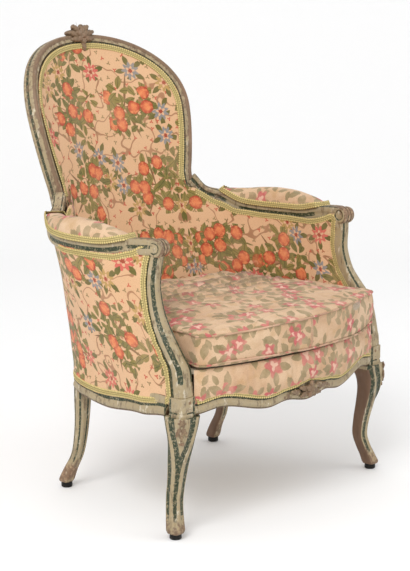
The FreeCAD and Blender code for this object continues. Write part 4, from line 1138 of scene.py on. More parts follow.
def arm_pad():
    """Stuffed pad on the arm, its ends rounded down to the braid."""
    keys = []
    for (centre, sideways, upward, width, depth), tall in zip(pad_frames(), PAD_HEIGHTS):
        base = centre + upward * (depth / 2 - 2)
        keys.append((*base, *sideways, *upward, pad_half_width(width), tall))
    last = 69
    rows = curve_through(keys, last + 1)
    sides = 40
    shell = Shell()
    run = 0.0
    for index, row in enumerate(rows):
        base = Vector(row[:3])
        sideways = Vector(row[3:6]).normalized()
        upward = Vector(row[6:9]).normalized()
        half, tall = row[9], row[10]
        end = math.sqrt(clamp(1 - abs(index / last * 2 - 1) ** 14))
        if index:
            run += (base - Vector(rows[index - 1][:3])).length
        for side in range(sides):
            angle = math.pi * side / (sides - 1)
            x = math.cos(angle)
            x = math.copysign(abs(x) ** 0.72, x)
            y = math.sin(angle) ** 0.8
            swell = 1 + 0.035 * math.sin(math.pi * min(y, 1))
            place = base + sideways * (x * half * swell * mix(0.7, 1, end))
            place += upward * (y * tall * mix(0.4, 1, end) + 2)
            place += upward * (0.9 * noise.noise(place * 0.03) * y)
            shell.add(place, (side * 2.1 * MM, run * MM))
    for index in range(last):
        a = index * sides
        for side in range(sides - 1):
            shell.faces.append((a + side, a + side + 1, a + side + 1 + sides, a + side + sides))
        shell.faces.append((a, a + sides, a + 2 * sides - 1, a + sides - 1))
    shell.faces.append(tuple(range(sides)))
    shell.faces.append(tuple(reversed(range(last * sides, (last + 1) * sides))))
    return shell.build("arm_pad_right")


def pad_end(frame_here, inner_frame, sign):
    """Places and normals of the braid round one end of the pad, from its middle outward."""
    centre, sideways, upward, width, depth = frame_here
    outward = (centre - inner_frame[0]).normalized()
    half = pad_half_width(width)
    places = []
    for step in range(4):
        angle = math.pi / 2 * step / 4
        ahead = math.cos(angle)
        aside = sign * math.sin(angle)
        place = centre + outward * (1.5 + 1.5 * ahead) + upward * (depth / 2 + PAD_BRAID_LIFT)
        place += sideways * (aside * half * 0.92)
        turn = outward * ahead + sideways * aside + upward * 0.7 * ahead
        places.append((place, turn.normalized()))
    return places


def pad_edge(name, sign):
    """Braid along one side of the arm pad and round its ends to their middles."""
    frames = pad_frames()
    places = pad_end(frames[0], frames[1], sign)
    for centre, sideways, upward, width, depth in frames:
        reach = pad_half_width(width) + 1.2
        place = centre + upward * (depth / 2 + PAD_BRAID_LIFT) + sideways * (sign * reach)
        places.append((place, (sideways * sign + upward * 0.15).normalized()))
    places += reversed(pad_end(frames[-1], frames[-2], sign))
    return braid(name, *zip(*places))


# The cushion

CUSHION_SIDES = 240
CUSHION_FLOOR = 338.8
LOWER_SEAM = 346.8
UPPER_SEAM = 408.8
CROWN = 17
TOP_PRINT_SHIFT = Vector((0.31, 0.77))


def arc_points(start, middle, end, count):
    """Places on the arc through three plan points, without the last one."""
    (ax, ay), (bx, by), (cx, cy) = start, middle, end
    a, b, c = (x * x + y * y for x, y in (start, middle, end))
    d = 2 * (ax * (by - cy) + bx * (cy - ay) + cx * (ay - by))
    x = (a * (by - cy) + b * (cy - ay) + c * (ay - by)) / d
    y = (a * (cx - bx) + b * (ax - cx) + c * (bx - ax)) / d
    radius = math.hypot(ax - x, ay - y)
    first = math.atan2(ay - y, ax - x)
    turn = (math.atan2(cy - y, cx - x) - first) % (2 * math.pi)
    via = (math.atan2(by - y, bx - x) - first) % (2 * math.pi)
    if via > turn:
        turn -= 2 * math.pi
    angles = [first + turn * index / count for index in range(count)]
    return [(x + radius * math.cos(angle), y + radius * math.sin(angle)) for angle in angles]


def cushion_outline(grow):
    """Evenly spaced places round the cushion's plan, first at the front's middle."""
    corner = (277 + grow, -270 - grow * 0.5)
    side = (268 + grow, -246)
    rear = (232 + grow, 40)
    back = (170 + grow * 0.5, 119 + grow)
    nose = (0, -324 - grow)
    tail = (0, 145 + grow)
    chord = ((rear[0] + back[0]) / 2 + 9, (rear[1] + back[1]) / 2 + 9)
    half = arc_points((-corner[0], corner[1]), nose, corner, 80)[40:]
    half += arc_points(corner, (corner[0] + 1.5, (corner[1] + side[1]) / 2), side, 10)
    half += arc_points(side, (255 + grow, (side[1] + rear[1]) / 2 + 8), rear, 40)
    half += arc_points(rear, chord, back, 20)
    half += arc_points(back, tail, (-back[0], back[1]), 80)[:41]
    closed = half + [(-x, y) for x, y in reversed(half[1:-1])] + half[:1]
    stops = [0.0]
    for a, b in zip(closed, closed[1:]):
        stops.append(stops[-1] + math.dist(a, b))
    result = []
    piece = 0
    for index in range(CUSHION_SIDES):
        at = stops[-1] * index / CUSHION_SIDES
        while at > stops[piece + 1]:
            piece += 1
        share = (at - stops[piece]) / (stops[piece + 1] - stops[piece])
        (ax, ay), (bx, by) = closed[piece], closed[piece + 1]
        result.append(Vector((mix(ax, bx, share), mix(ay, by, share))))
    for _ in range(6):
        after = result[1:] + result[:1]
        before = result[-1:] + result[:-1]
        result = [(a + b * 2 + c) / 4 for a, b, c in zip(before, result, after)]
    return result


def seam_wave(x, y, upper):
    """How far a seam strays up or down from its level."""
    wave = 1.6 * noise.noise(Vector((x, y, 70 if upper else 20)) * 0.016)
    if upper:
        return 0.018 * x + wave
    front = smooth((-y - 180) / 80)
    drop = through(((-277, -3), (-210, 3), (-90, 0), (27, -3), (158, -6), (202, -5), (261, 1)), x)
    return max(drop * front + wave, -6.5)


def cushion():
    """Box cushion with a crown, swelling border, strayed seams and creases on top."""
    base, wide, inner = (cushion_outline(grow) for grow in (0.0, 3.0, -14.0))
    centre = Vector((0, -102))
    shell = Shell()
    around = [0.0]
    for a, b in zip(base, base[1:] + base[:1]):
        around.append(around[-1] + (b - a).length)
    rings = []

    def ring(places, v, level_at):
        """A ring of points; its function gives height, push outward, fraying and fold strength, which is
        kept as painted shade.
        """
        rings.append(len(shell.points))
        for index, place in enumerate(places):
            z, push, fray, crease_and_shade = level_at(index, place)
            outward = Vector((place.x, place.y + 90, 0)).normalized()
            point = Vector((place.x, place.y, z)) + outward * push
            shell.add(point, (around[index] * MM, v * MM), frayed=fray, crease_and_shade=crease_and_shade)

    def level(z):
        return lambda index, place: (z, 0, 0, 0)

    def border(share):
        def level_at(index, place):
            low = LOWER_SEAM + seam_wave(place.x, place.y, False)
            high = UPPER_SEAM + seam_wave(place.x, place.y, True)
            edge = 1 - math.sin(math.pi * share)
            pucker = noise.noise(Vector((around[index] * 0.11, share * 0.8, 4)))
            bulge = noise.noise(Vector((around[index] * 0.013, share * 1.2, 9)))
            push = 2.4 * pucker * edge * (0 < share < 1) + 3.0 * bulge * math.sin(math.pi * share)
            fray = lobe(place.x, 172, 34) * lobe(share, 0.9, 0.3) * (place.y < -200)
            return mix(low, high, share), push, fray, 0.0
        return level_at

    def top(share, angle):
        def level_at(index, place):
            seam = UPPER_SEAM + seam_wave(place.x, place.y, True) * share
            broad = 3.2 * noise.noise(Vector((place.x * 0.009, place.y * 0.011, 2)))
            bend = place.y + 14 * noise.noise(Vector((place.x * 0.012, place.y * 0.01, 6)))
            ridge_and_shade = 1 - abs(noise.noise(Vector((place.x * 0.006, bend * 0.038, 11)))) * 3
            # Fold strength: it raises ridges of the top and is also kept as painted shade along the
            # creases.
            crease_and_shade = max(ridge_and_shade, 0.0) ** 2 * mix(0.35, 1.0, smooth((place.y + 150) / 120))
            gather = noise.noise(Vector((around[index] * 0.09, 0, 31))) * smooth((share - 0.8) / 0.2)
            inside = smooth((1 - share) * 9)
            z = seam + CROWN * math.sin(angle) ** 0.8
            z += (broad * 1.3 + 9.0 * (crease_and_shade - 0.25)) * inside + 1.3 * gather
            return z, 0.0, 0.0, crease_and_shade * inside
        return level_at

    for share in (0.25, 0.6, 0.9):
        ring([centre.lerp(place, share) for place in inner], 280 + 40 * share, level(CUSHION_FLOOR))
    ring(inner, 326, level(CUSHION_FLOOR))
    slope = [a.lerp(b, 0.7) for a, b in zip(inner, base)]
    ring(slope, 336, level(mix(CUSHION_FLOOR, LOWER_SEAM, 0.4)))
    border_rows = 12
    for row in range(border_rows + 1):
        share = row / border_rows
        swell = math.sin(math.pi * share)
        ring([a.lerp(b, swell) for a, b in zip(base, wide)], 340 + 62 * share, border(share))
    top_steps = 48
    for step in range(1, top_steps):
        angle = math.pi / 2 * step / top_steps
        share = math.cos(angle) ** 0.85
        places = [centre + (place - centre) * share for place in base]
        ring(places, 402 + 260 * (1 - share), top(share, angle))
    for low, high in zip(rings, rings[1:]):
        shell.join(low, high, CUSHION_SIDES)
    below = len(shell.points)
    above = below + 1
    for z in (CUSHION_FLOOR, UPPER_SEAM + CROWN + 1):
        shell.add(Vector((*centre, z)), (0.0, 0.6), frayed=0.0, crease_and_shade=0.2)
    for index in range(CUSHION_SIDES):
        after = (index + 1) % CUSHION_SIDES
        shell.faces.append((below, rings[0] + after, rings[0] + index))
        shell.faces.append((above, rings[-1] + index, rings[-1] + after))
    obj = shell.build("cushion_case")
    lay_flat(obj.data)
    return obj


def lay_flat(mesh):
    """Lays the print straight on the cushion's top and underside."""
    corners = mesh.uv_layers.active.data
    for polygon in mesh.polygons:
        level = polygon.center.z
        on_top = level > (UPPER_SEAM - 8) * MM and abs(polygon.normal.z) > 0.35
        if on_top or level < (LOWER_SEAM - 6) * MM:
            for index in polygon.loop_indices:
                place = mesh.vertices[mesh.loops[index].vertex_index].co
                corners[index].uv = place.to_2d() + TOP_PRINT_SHIFT


def piping(name, upper):
    """Corded welt round the cushion at a seam."""
    outline = cushion_outline(0.6)
    level = UPPER_SEAM if upper else LOWER_SEAM
    sides = 10
    radius = 2.0
    shell = Shell()
    run = 0.0
    for index, place in enumerate(outline):
        before = outline[index - 1]
        after = (index + 1) % CUSHION_SIDES
        ahead = (outline[after] - before).normalized()
        outward = Vector((ahead.y, -ahead.x, 0))
        run += (place - before).length
        centre = Vector((place.x, place.y, level + seam_wave(place.x, place.y, upper)))
        for side in range(sides):
            angle = 2 * math.pi * side / sides
            ray = outward * math.cos(angle) + UP * math.sin(angle)
            shell.add(centre + ray * radius + outward * 0.8, (run * MM, angle * radius * MM))
        shell.join(index * sides, after * sides, sides)
    return shell.build(name)


# The seat's front border and its deck


def border_low(x):
    """Lower edge of the front border over the rail."""
    return front_rail_bottom(x) + 24 + 18 * lobe(abs(x), 0, 62)


def apron_bump(x, z):
    """How far the carving stands out of the front rail."""
    wide = 1 - (x / 52) ** 2
    high = 1 - ((z - 257.4) / 31.2) ** 2
    return 8 * wide * high if wide > 0 and high > 0 else 0.0


def apron_swell(x, z):
    """How far the carving pushes out the border that covers it."""
    return apron_bump(x, min(z, RAIL_TOP)) * 0.4


def border_panel():
    """Cover below the cushion with soft upright folds."""
    end = 283.5

    def place_at(along, share):
        x = mix(-end, end, along)
        z = mix(border_low(x), BORDER_TOP, share)
        fold = noise.noise(Vector((x * 0.045, share * 0.7, 3)))
        small = noise.noise(Vector((x * 0.12, share * 1.1, 13)))
        swell = (7 + 4.6 * fold + 1.8 * small) * math.sin(math.pi * share ** 0.85)
        swell *= smooth((end - abs(x)) / 16)
        return Vector((x, front_bow(x) - apron_swell(x, z) - 2.2 - swell, z))

    return panel_of(180, 16, place_at, (0, -1, 0))


def border_braid():
    """Braid on the lower edge of the front border."""
    places = []
    for index in range(73):
        x = mix(-278, 278, index / 72)
        z = border_low(x) + 5
        outward = front_outward(x)
        place = Vector((x, front_bow(x), z)) + outward * (1.6 + apron_swell(x, z))
        places.append((place + outward * 1.2, outward))
    return braid("gimp_front_woven", *zip(*places))


def seat_deck():
    """Stuffed seat under the loose cushion, in plain calico."""

    def place_at(along, share):
        across = mix(-1, 1, along)
        x = across * mix(276, 186, smooth(share))
        front = front_bow(min(abs(x), 278)) + 2
        rear = min(back_y(x, RAIL_TOP) - 14, 100 + 30 * (1 - across ** 2))
        edge = min(1 - abs(across), share, 1 - share) * 12
        drop = 10 * (1 - smooth(edge)) ** 2
        hollow = 2.5 * math.sin(math.pi * share) * (1 - across * across)
        seam = 1.6 * lobe(share, 0.16, 0.02)
        return Vector((x, mix(front, rear, share), DECK_TOP - drop - hollow - seam))

    return panel_of(60, 44, place_at, (0, 0, 1))


# Carving


def carved(name, parts):
    """Carved leaves and petals in one mesh.

    A part is its middle, the way it points, its outward direction, its length, width,
    height and how deep its vein is cut.
    """
    shell = Shell()
    rings = 14
    sides = 18
    for middle, along, outward, length, width, tall, vein in parts:
        along = Vector(along).normalized()
        outward = Vector(outward)
        outward = (outward - along * outward.dot(along)).normalized()
        across = along.cross(outward)
        start = len(shell.points)
        for ring in range(rings + 1):
            theta = math.pi * ring / rings
            lengthwise = -math.cos(theta)
            body = math.sin(theta) ** 0.8
            for side in range(sides):
                phi = 2 * math.pi * side / sides
                aside = math.cos(phi)
                out = math.sin(phi)
                x = aside * body * width / 2 * (1 - 0.3 * lengthwise)
                x += 0.12 * width * math.sin(lengthwise * 9) * aside * body
                rise = out * body * tall - vein * lobe(aside, 0, 0.45) * body * (out > 0)
                place = Vector(middle) + along * (lengthwise * length / 2)
                place += across * x + outward * rise
                green = 0.6 * lobe(aside, 0, 0.3) * (vein > 0.5)
                shell.add(place, (place.x * MM, place.z * MM), green=green, worn=0.95, bare=0.0)
        shell.tube(start, rings + 1, sides)
    return shell.build(name)


def grown(parts, middle, by):
    """The same parts, larger, about a middle."""
    result = []
    for place, along, outward, length, width, tall, vein in parts:
        moved = middle + (place - middle) * by
        result.append((moved, along, outward, length * by, width * by, tall * by, vein))
    return result


def crest_carving():
    """Flower with leaves on the middle of the crest."""
    normal = -back_normal(0, CREST_HEIGHT - 10)
    side = OUTWARD
    rise = normal.cross(side).normalized()
    if rise.z < 0:
        rise = -rise
    middle = on_back(0, CREST_HEIGHT - 6) + normal * 2
    parts = []
    for index in range(6):
        angle = 2 * math.pi * (index + 0.5) / 6
        ray = side * math.cos(angle) + rise * math.sin(angle)
        parts.append((middle + ray * 9.5 + normal * 1.5, ray, normal, 15, 12, 6.5, 1.2))
    parts.append((middle + normal * 4, rise, normal, 10, 10, 6, 0))
    for sign in (1, -1):
        for lift, out, long in ((5, 20, 24), (-5, 18, 20), (14, 12, 20)):
            ray = (side * sign + rise * (lift * 0.03 + 0.1)).normalized()
            parts.append((middle + side * (sign * out) + rise * lift, ray, normal, long, 11, 6, 1.4))
    for lean in (-0.5, 0, 0.5):
        ray = (rise + side * lean).normalized()
        parts.append((middle + ray * 17 - normal * 7, ray, rise, 18, 12, 7, 0.8))
    for sign in (1, -1):
        place = middle + side * (sign * 15) + rise * 9 - normal * 12
        parts.append((place, side * sign, rise, 26, 16, 6, 1.0))
    parts.append((middle - rise * 19, -rise, normal, 18, 9, 5, 1.2))
    return carved("crest_carving", grown(parts, middle, 1.22))


def apron_carving():
    """Flower and leaves in the middle of the front rail."""
    parts = []

    def on_face(x, z, out=0.0):
        return Vector((x, front_bow(x) - apron_bump(x, z) - out, z))

    for index in range(5):
        angle = 2 * math.pi * (index + 0.25) / 5
        ray = Vector((math.cos(angle), 0, math.sin(angle)))
        parts.append((on_face(0, 258, 1.5) + ray * 8.5, ray, FRONT, 14, 12, 4.5, 1.0))
    parts.append((on_face(0, 258, 3), UP, FRONT, 9, 9, 4.5, 0))
    leaves_at = ((19, 262, 0.25, 24), (18, 251, -0.35, 22), (37, 258, 0.2, 26), (55, 253, -0.1, 22))
    for sign in (1, -1):
        for x, z, lean, long in leaves_at:
            parts.append((on_face(sign * x, z), Vector((sign, 0, lean)), FRONT, long, 10, 4, 1.3))
    return carved("apron_carving", grown(parts, on_face(0, 258), 1.15))


def knee_carving():
    """Disc, petals and a curl on the knee, between the two green grooves."""
    ahead = Vector((1, -1, 0)).normalized()
    side = Vector((1, 1, 0)).normalized()

    def on_knee(across, z, out=0.0):
        reach = through(((150, 20), (190, 28.5), (214, 33), (240, 34.5), (262, 27)), z)
        centre = through(((150, 0.0), (214, 1.0), (246, -1.0)), z)
        return Vector((BLOCK_X + centre, BLOCK_Y + 2, z)) + ahead * (reach + out) + side * across

    parts = [(on_knee(0, 240, 0.6), UP, ahead, 9, 9, 3, 0)]
    for index in range(6):
        angle = 2 * math.pi * index / 6
        ray = side * math.cos(angle) + UP * math.sin(angle)
        parts.append((on_knee(0, 240) + ray * 5.6, ray, ahead, 6, 5, 1.8, 0.5))
    for across, z, lean, long in ((-6.5, 222, -0.5, 20), (6.5, 222, 0.5, 20), (0, 214, 0, 22)):
        ray = side * lean - UP
        parts.append((on_knee(across, z), ray, ahead, long, 8, 2.6, 1.0))
    parts.append((on_knee(0, 198, 0.4), side, ahead, 10, 7, 2.6, 1.0))
    return carved("knee_carving_right", parts)


# Camera, floor and light

CAMERA_AZIMUTH = -47.4
CAMERA_ELEVATION = 11.04
CAMERA_PLACE = (-2547, -2370, 1109)
CAMERA_LENS = 103.8
SENSOR = 36.0
FLOOR_REACH = 9000
FLOOR_BEND = 2600
FLOOR_BEND_RADIUS = 1500
WALL_HEIGHT = 7000


def viewing_axes():
    """Directions to the right of the camera, up from it and back to it."""
    azimuth = math.radians(CAMERA_AZIMUTH)
    elevation = math.radians(CAMERA_ELEVATION)
    right = Vector((math.cos(azimuth), math.sin(azimuth), 0))
    back = Vector((
        math.sin(azimuth) * math.cos(elevation),
        -math.cos(azimuth) * math.cos(elevation),
        math.sin(elevation),
    ))
    return right, back.cross(right), back


def add_camera():
    """Camera at the photograph's viewing angle."""
    data = bpy.data.cameras.new("camera")
    data.lens = CAMERA_LENS
    data.sensor_width = SENSOR
    data.sensor_fit = "AUTO"
    data.clip_end = 50
    camera = bpy.data.objects.new("camera", data)
    bpy.context.scene.collection.objects.link(camera)
    turn = Matrix(viewing_axes()).transposed()
    camera.matrix_world = Matrix.Translation(to_row(CAMERA_PLACE)) @ turn.to_4x4()
    bpy.context.scene.camera = camera


def floor_material(name, colour, roughness):
    """A plain material for the floor."""
    material = bpy.data.materials.new(name)
    material.use_nodes = True
    shader = material.node_tree.nodes["Principled BSDF"]
    shader.inputs["Base Color"].default_value = (*colour, 1)
    shader.inputs["Roughness"].default_value = roughness
    return material


def add_stage():
    """Pale floor that curves up behind the chair, and the world's light."""
    steps = 16
    profile = [(-FLOOR_REACH, 0.0), (FLOOR_BEND, 0.0)]
    for index in range(1, steps + 1):
        angle = math.pi / 2 * index / steps
        height = FLOOR_BEND_RADIUS * (1 - math.cos(angle))
        profile.append((FLOOR_BEND + FLOOR_BEND_RADIUS * math.sin(angle), height))
    profile.append((FLOOR_BEND + FLOOR_BEND_RADIUS, WALL_HEIGHT))
    side = viewing_axes()[0]
    away = UP.cross(side)
    points = []
    for along, height in profile:
        for across in (-FLOOR_REACH, FLOOR_REACH):
            points.append(away * along + side * across + UP * height)
    faces = []
    for a in range(0, 2 * len(profile) - 2, 2):
        faces.append((a, a + 1, a + 3, a + 2))
    floor = new_mesh("studio_floor", points, faces)
    floor.data.materials.append(floor_material("floor_white", (0.93, 0.93, 0.93), 0.8))
    world = bpy.data.worlds.new("studio")
    world.use_nodes = True
    background = world.node_tree.nodes["Background"]
    background.inputs["Color"].default_value = (1, 1, 1, 1)
    background.inputs["Strength"].default_value = 0.85
    bpy.context.scene.world = world
    bpy.context.scene.view_settings.view_transform = "Standard"


def add_light(name, place, target, size, power):
    """A soft square lamp that looks at a target."""
    data = bpy.data.lights.new(name, "AREA")
    data.shape = "SQUARE"
    data.size = size * MM
    data.energy = power
    lamp = bpy.data.objects.new(name, data)
    lamp.location = to_row(place)
    direction = Vector(target) - Vector(place)
    lamp.rotation_euler = direction.to_track_quat("-Z", "Y").to_euler()
    bpy.context.scene.collection.objects.link(lamp)


# Materials


class Nodes:
    """Short calls that add shader nodes to one material."""

    def __init__(self, name):
        self.material = bpy.data.materials.new(name)
        self.material.use_nodes = True
        self.tree = self.material.node_tree
        self.shader = self.tree.nodes["Principled BSDF"]

    def add(self, kind, **settings):
        """A node of a kind, with its settings."""
        node = self.tree.nodes.new(kind)
        for name, value in settings.items():
            setattr(node, name, value)
        return node

    def plug(self, value, socket):
        """Sets a socket to a number, a colour or another node's output."""
        if isinstance(value, bpy.types.NodeSocket):
            self.tree.links.new(value, socket)
        elif isinstance(value, tuple) and len(value) == 3 and len(socket.default_value) == 4:
            socket.default_value = (*value, 1)
        else:
            socket.default_value = value

    def math(self, operation, first, second=0.0, third=0.0, clamped=False):
        """A number worked out from others."""
        node = self.add("ShaderNodeMath", operation=operation, use_clamp=clamped)
        for value, socket in zip((first, second, third), node.inputs):
            self.plug(value, socket)
        return node.outputs[0]

    def plus(self, first, second):
        """A sum."""
        return self.math("ADD", first, second)

    def minus(self, first, second):
        """A difference."""
        return self.math("SUBTRACT", first, second)

    def times(self, first, second):
        """A product."""
        return self.math("MULTIPLY", first, second)

    def times_plus(self, first, second, third):
        """The product of two numbers plus a third one."""
        return self.math("MULTIPLY_ADD", first, second, third)

    def vector(self, operation, first, second=(0, 0, 0)):
        """A vector worked out from others, or its length."""
        node = self.add("ShaderNodeVectorMath", operation=operation)
        self.plug(first, node.inputs[0])
        self.plug(second, node.inputs[1])
        return node.outputs["Value" if operation == "LENGTH" else "Vector"]

    def mix(self, share, first, second, blend="MIX"):
        """A colour between two colours."""
        node = self.add("ShaderNodeMix", data_type="RGBA", blend_type=blend)
        self.plug(share, node.inputs[0])
        self.plug(first, node.inputs[6])
        self.plug(second, node.inputs[7])
        return node.outputs[2]

    def ramp(self, value, low, high, to_low=0.0, to_high=1.0):
        """A number taken from one range to another, kept inside it, with soft ends."""
        node = self.add("ShaderNodeMapRange", interpolation_type="SMOOTHSTEP")
        for number, socket in zip((value, low, high, to_low, to_high), node.inputs):
            self.plug(number, socket)
        return node.outputs[0]

    def noise(self, where, scale, detail=3.0, roughness=0.55, stretch=None):
        """Noise from 0 to 1."""
        if stretch:
            where = self.vector("MULTIPLY", where, stretch)
        node = self.add("ShaderNodeTexNoise")
        self.plug(where, node.inputs["Vector"])
        self.plug(scale, node.inputs["Scale"])
        self.plug(detail, node.inputs["Detail"])
        self.plug(roughness, node.inputs["Roughness"])
        return node.outputs["Fac"]

    def attribute(self, name):
        """A shade value stored on the mesh."""
        return self.add("ShaderNodeAttribute", attribute_name=name).outputs["Fac"]

    def place(self):
        """Place on the piece, in metres."""
        return self.add("ShaderNodeTexCoord").outputs["Object"]

    def uv(self):
        """Place on the piece's cloth or length, in metres."""
        return self.add("ShaderNodeUVMap", uv_map="UVMap").outputs[0]

    def bump(self, height, strength, distance):
        """A bump from a height, linked to the shader."""
        node = self.add("ShaderNodeBump")
        self.plug(strength, node.inputs["Strength"])
        self.plug(distance, node.inputs["Distance"])
        self.plug(height, node.inputs["Height"])
        self.tree.links.new(node.outputs[0], self.shader.inputs["Normal"])

    def finish(self, colour, roughness):
        """Links the colour and roughness and gives the material back."""
        self.plug(colour, self.shader.inputs["Base Color"])
        self.plug(roughness, self.shader.inputs["Roughness"])
        return self.material


def painted_wood(name, worn_more=0.0):
    """Old cream paint with green lines, rubbed through to brown wood."""
    make = Nodes(name)
    place = make.place()
    green = make.attribute("green")
    worn = make.attribute("worn")
    bare = make.attribute("bare")
    broad = make.noise(place, 16, 4, 0.6)
    fine = make.noise(place, 120, 5, 0.65)
    tiny = make.noise(place, 420, 3, 0.6)
    grain = make.noise(place, 60, 5, 0.6, (1.0, 1.0, 0.12))
    cream = make.mix(broad, (0.25, 0.18, 0.085), (0.45, 0.355, 0.205))
    cream = make.mix(make.ramp(fine, 0.35, 0.75), cream, (0.38, 0.31, 0.20))
    rosy = make.mix(make.ramp(broad, 0.45, 0.62), cream, (0.42, 0.24, 0.14))
    cream = make.mix(make.ramp(worn, 0.45, 0.95, 0.0, 0.8), cream, rosy)
    wood = make.mix(grain, (0.07, 0.035, 0.018), (0.24, 0.13, 0.07))
    paint_green = make.mix(fine, (0.005, 0.014, 0.004), (0.026, 0.044, 0.012))
    dirt = make.ramp(make.times_plus(tiny, 0.35, fine), 0.66, 0.9)
    lined = make.plus(green, make.times(make.minus(fine, 0.5), 0.9))
    lined = make.ramp(lined, 0.42, 0.62)
    flecks = make.ramp(make.noise(place, 210, 4, 0.7), 0.38, 0.5, 0.1, 1.0)
    chipped = make.times(lined, flecks)
    soiled = make.ramp(make.times_plus(green, 0.5, fine), 0.62, 0.95, 0.0, 0.55)
    cream = make.mix(soiled, cream, (0.16, 0.15, 0.085))
    streaks = make.noise(place, 95, 4, 0.7, (1.0, 1.0, 0.3))
    cream = make.mix(make.ramp(streaks, 0.53, 0.66, 0.0, 0.8), cream, (0.14, 0.095, 0.05))
    pale = make.ramp(make.noise(place, 75, 5, 0.7, (1.0, 1.0, 0.4)), 0.57, 0.66, 0.0, 0.7)
    cream = make.mix(pale, cream, (0.62, 0.55, 0.42))
    colour = make.mix(chipped, cream, paint_green)
    wear = make.times_plus(worn, 0.42 + worn_more, make.times(fine, 0.75))
    wear = make.ramp(make.times_plus(broad, 0.35, wear), 0.78, 0.95)
    colour = make.mix(make.times(wear, 0.8), colour, wood)
    colour = make.mix(make.times(dirt, 0.3), colour, (0.16, 0.12, 0.07))
    bared = make.ramp(make.plus(bare, make.times(make.minus(fine, 0.5), 0.7)), 0.4, 0.7)
    colour = make.mix(bared, colour, wood)
    height = make.times_plus(grain, 0.5, make.times(wear, -0.6))
    height = make.times_plus(fine, 0.5, height)
    make.bump(height, 0.55, 0.0012)
    roughness = make.ramp(fine, 0.2, 0.8, 0.42, 0.68)
    return make.finish(colour, roughness)


def plain_cloth(name, colour, other):
    """Coarse plain cloth for hidden layers."""
    make = Nodes(name)
    place = make.place()
    weave = make.noise(place, 900, 2)
    broad = make.noise(place, 25, 3)
    shade = make.mix(make.times_plus(broad, 0.5, make.times(weave, 0.5)), colour, other)
    make.bump(weave, 0.4, 0.0006)
    return make.finish(shade, 0.9)


def braid_cloth():
    """Olive-yellow braid, darker between its loops: painted shade there and under its edges, painted light
    on its ridges.
    """
    make = Nodes("gimp_braid_woven")
    place = make.place()
    ridge_and_shade = make.attribute("ridge_and_shade")
    thread = make.noise(place, 1400, 2)
    broad = make.noise(place, 30, 3)
    pale = make.mix(broad, (0.66, 0.50, 0.17), (0.82, 0.68, 0.32))
    # Painted shade in the braid's dips and under its edges, painted light on its ridges and loops.
    lit = make.times_plus(make.minus(thread, 0.5), 0.5, ridge_and_shade)
    colour = make.mix(make.ramp(lit, 0.15, 0.7), (0.20, 0.15, 0.05), pale)
    make.bump(thread, 0.5, 0.0006)
    return make.finish(colour, 0.85)


def dark_metal():
    """Black japanned glide with worn rim."""
    make = Nodes("glide_black")
    place = make.place()
    fine = make.noise(place, 260, 4)
    colour = make.mix(make.ramp(fine, 0.55, 0.75), (0.012, 0.011, 0.01), (0.10, 0.08, 0.06))
    make.bump(fine, 0.3, 0.0005)
    make.shader.inputs["Metallic"].default_value = 0.6
    return make.finish(colour, make.ramp(fine, 0.3, 0.7, 0.35, 0.6))


def cells(make, size, seed, scatter, where=None):
    """Places scattered over the cloth: distance, angle, two random numbers and the nearest place."""
    shift = (seed, seed * 0.37, 0)
    scaled = make.vector("MULTIPLY", where or make.uv(), (1 / size, 1 / size, 0))
    scaled = make.vector("ADD", scaled, shift)
    near = make.add("ShaderNodeTexVoronoi", voronoi_dimensions="2D")
    make.plug(scaled, near.inputs["Vector"])
    make.plug(1.0, near.inputs["Scale"])
    make.plug(scatter, near.inputs["Randomness"])
    local = make.vector("SUBTRACT", scaled, near.outputs["Position"])
    local = make.vector("MULTIPLY", local, (size, size, 0))
    split = make.add("ShaderNodeSeparateXYZ")
    make.plug(local, split.inputs[0])
    angle = make.math("ARCTAN2", split.outputs[1], split.outputs[0])
    chance = make.add("ShaderNodeSeparateColor")
    make.plug(near.outputs["Color"], chance.inputs[0])
    angle = make.times_plus(chance.outputs[2], 6.28, angle)  # turned at random
    radius = make.vector("LENGTH", local)
    middle = make.vector("SUBTRACT", near.outputs["Position"], shift)
    middle = make.vector("MULTIPLY", middle, (size, size, 0))
    return radius, angle, chance.outputs[0], chance.outputs[1], middle


def wobbled(make, radius, amount):
    """A distance made uneven, so that outlines look drawn."""
    uneven = make.minus(make.noise(make.uv(), 170, 2), 0.5)
    return make.times_plus(uneven, amount, radius)


def petals(make, radius, angle, count, reach, notch, soft=0.0008):
    """1 inside a flower of round petals."""
    wave = make.math("COSINE", make.times(angle, count))
    limit = make.times_plus(wave, reach * notch, reach * (1 - notch))
    return make.ramp(make.minus(limit, radius), -soft, soft)


def leaves(make, radius, angle, count, start, end, half, turn=0.0):
    """1 inside a ring of pointed leaves, and 1 along their veins."""
    sector = make.times_plus(angle, count / (2 * math.pi), turn)
    sector = make.math("FRACT", make.plus(sector, 20.0))
    lean = make.times(make.minus(sector, 0.5), 2 * math.pi / count)
    across = make.math("ABSOLUTE", make.times(radius, make.math("SINE", lean)))
    along = make.times(radius, make.math("COSINE", lean))
    share = make.math("DIVIDE", make.minus(along, start), end - start, clamped=True)
    limit = make.times(make.times(share, make.minus(1.0, share)), half * 4)
    inside = make.ramp(make.minus(limit, across), 0.0001, 0.0009)
    vein = make.times(inside, make.ramp(across, 0.0008, 0.0002))
    return inside, vein


def painted(make, colour, mask, tint, allowed=None):
    """A colour laid over another one inside a mask, and only in allowed places."""
    if allowed is not None:
        mask = make.times(mask, allowed)
    return make.mix(mask, colour, tint)


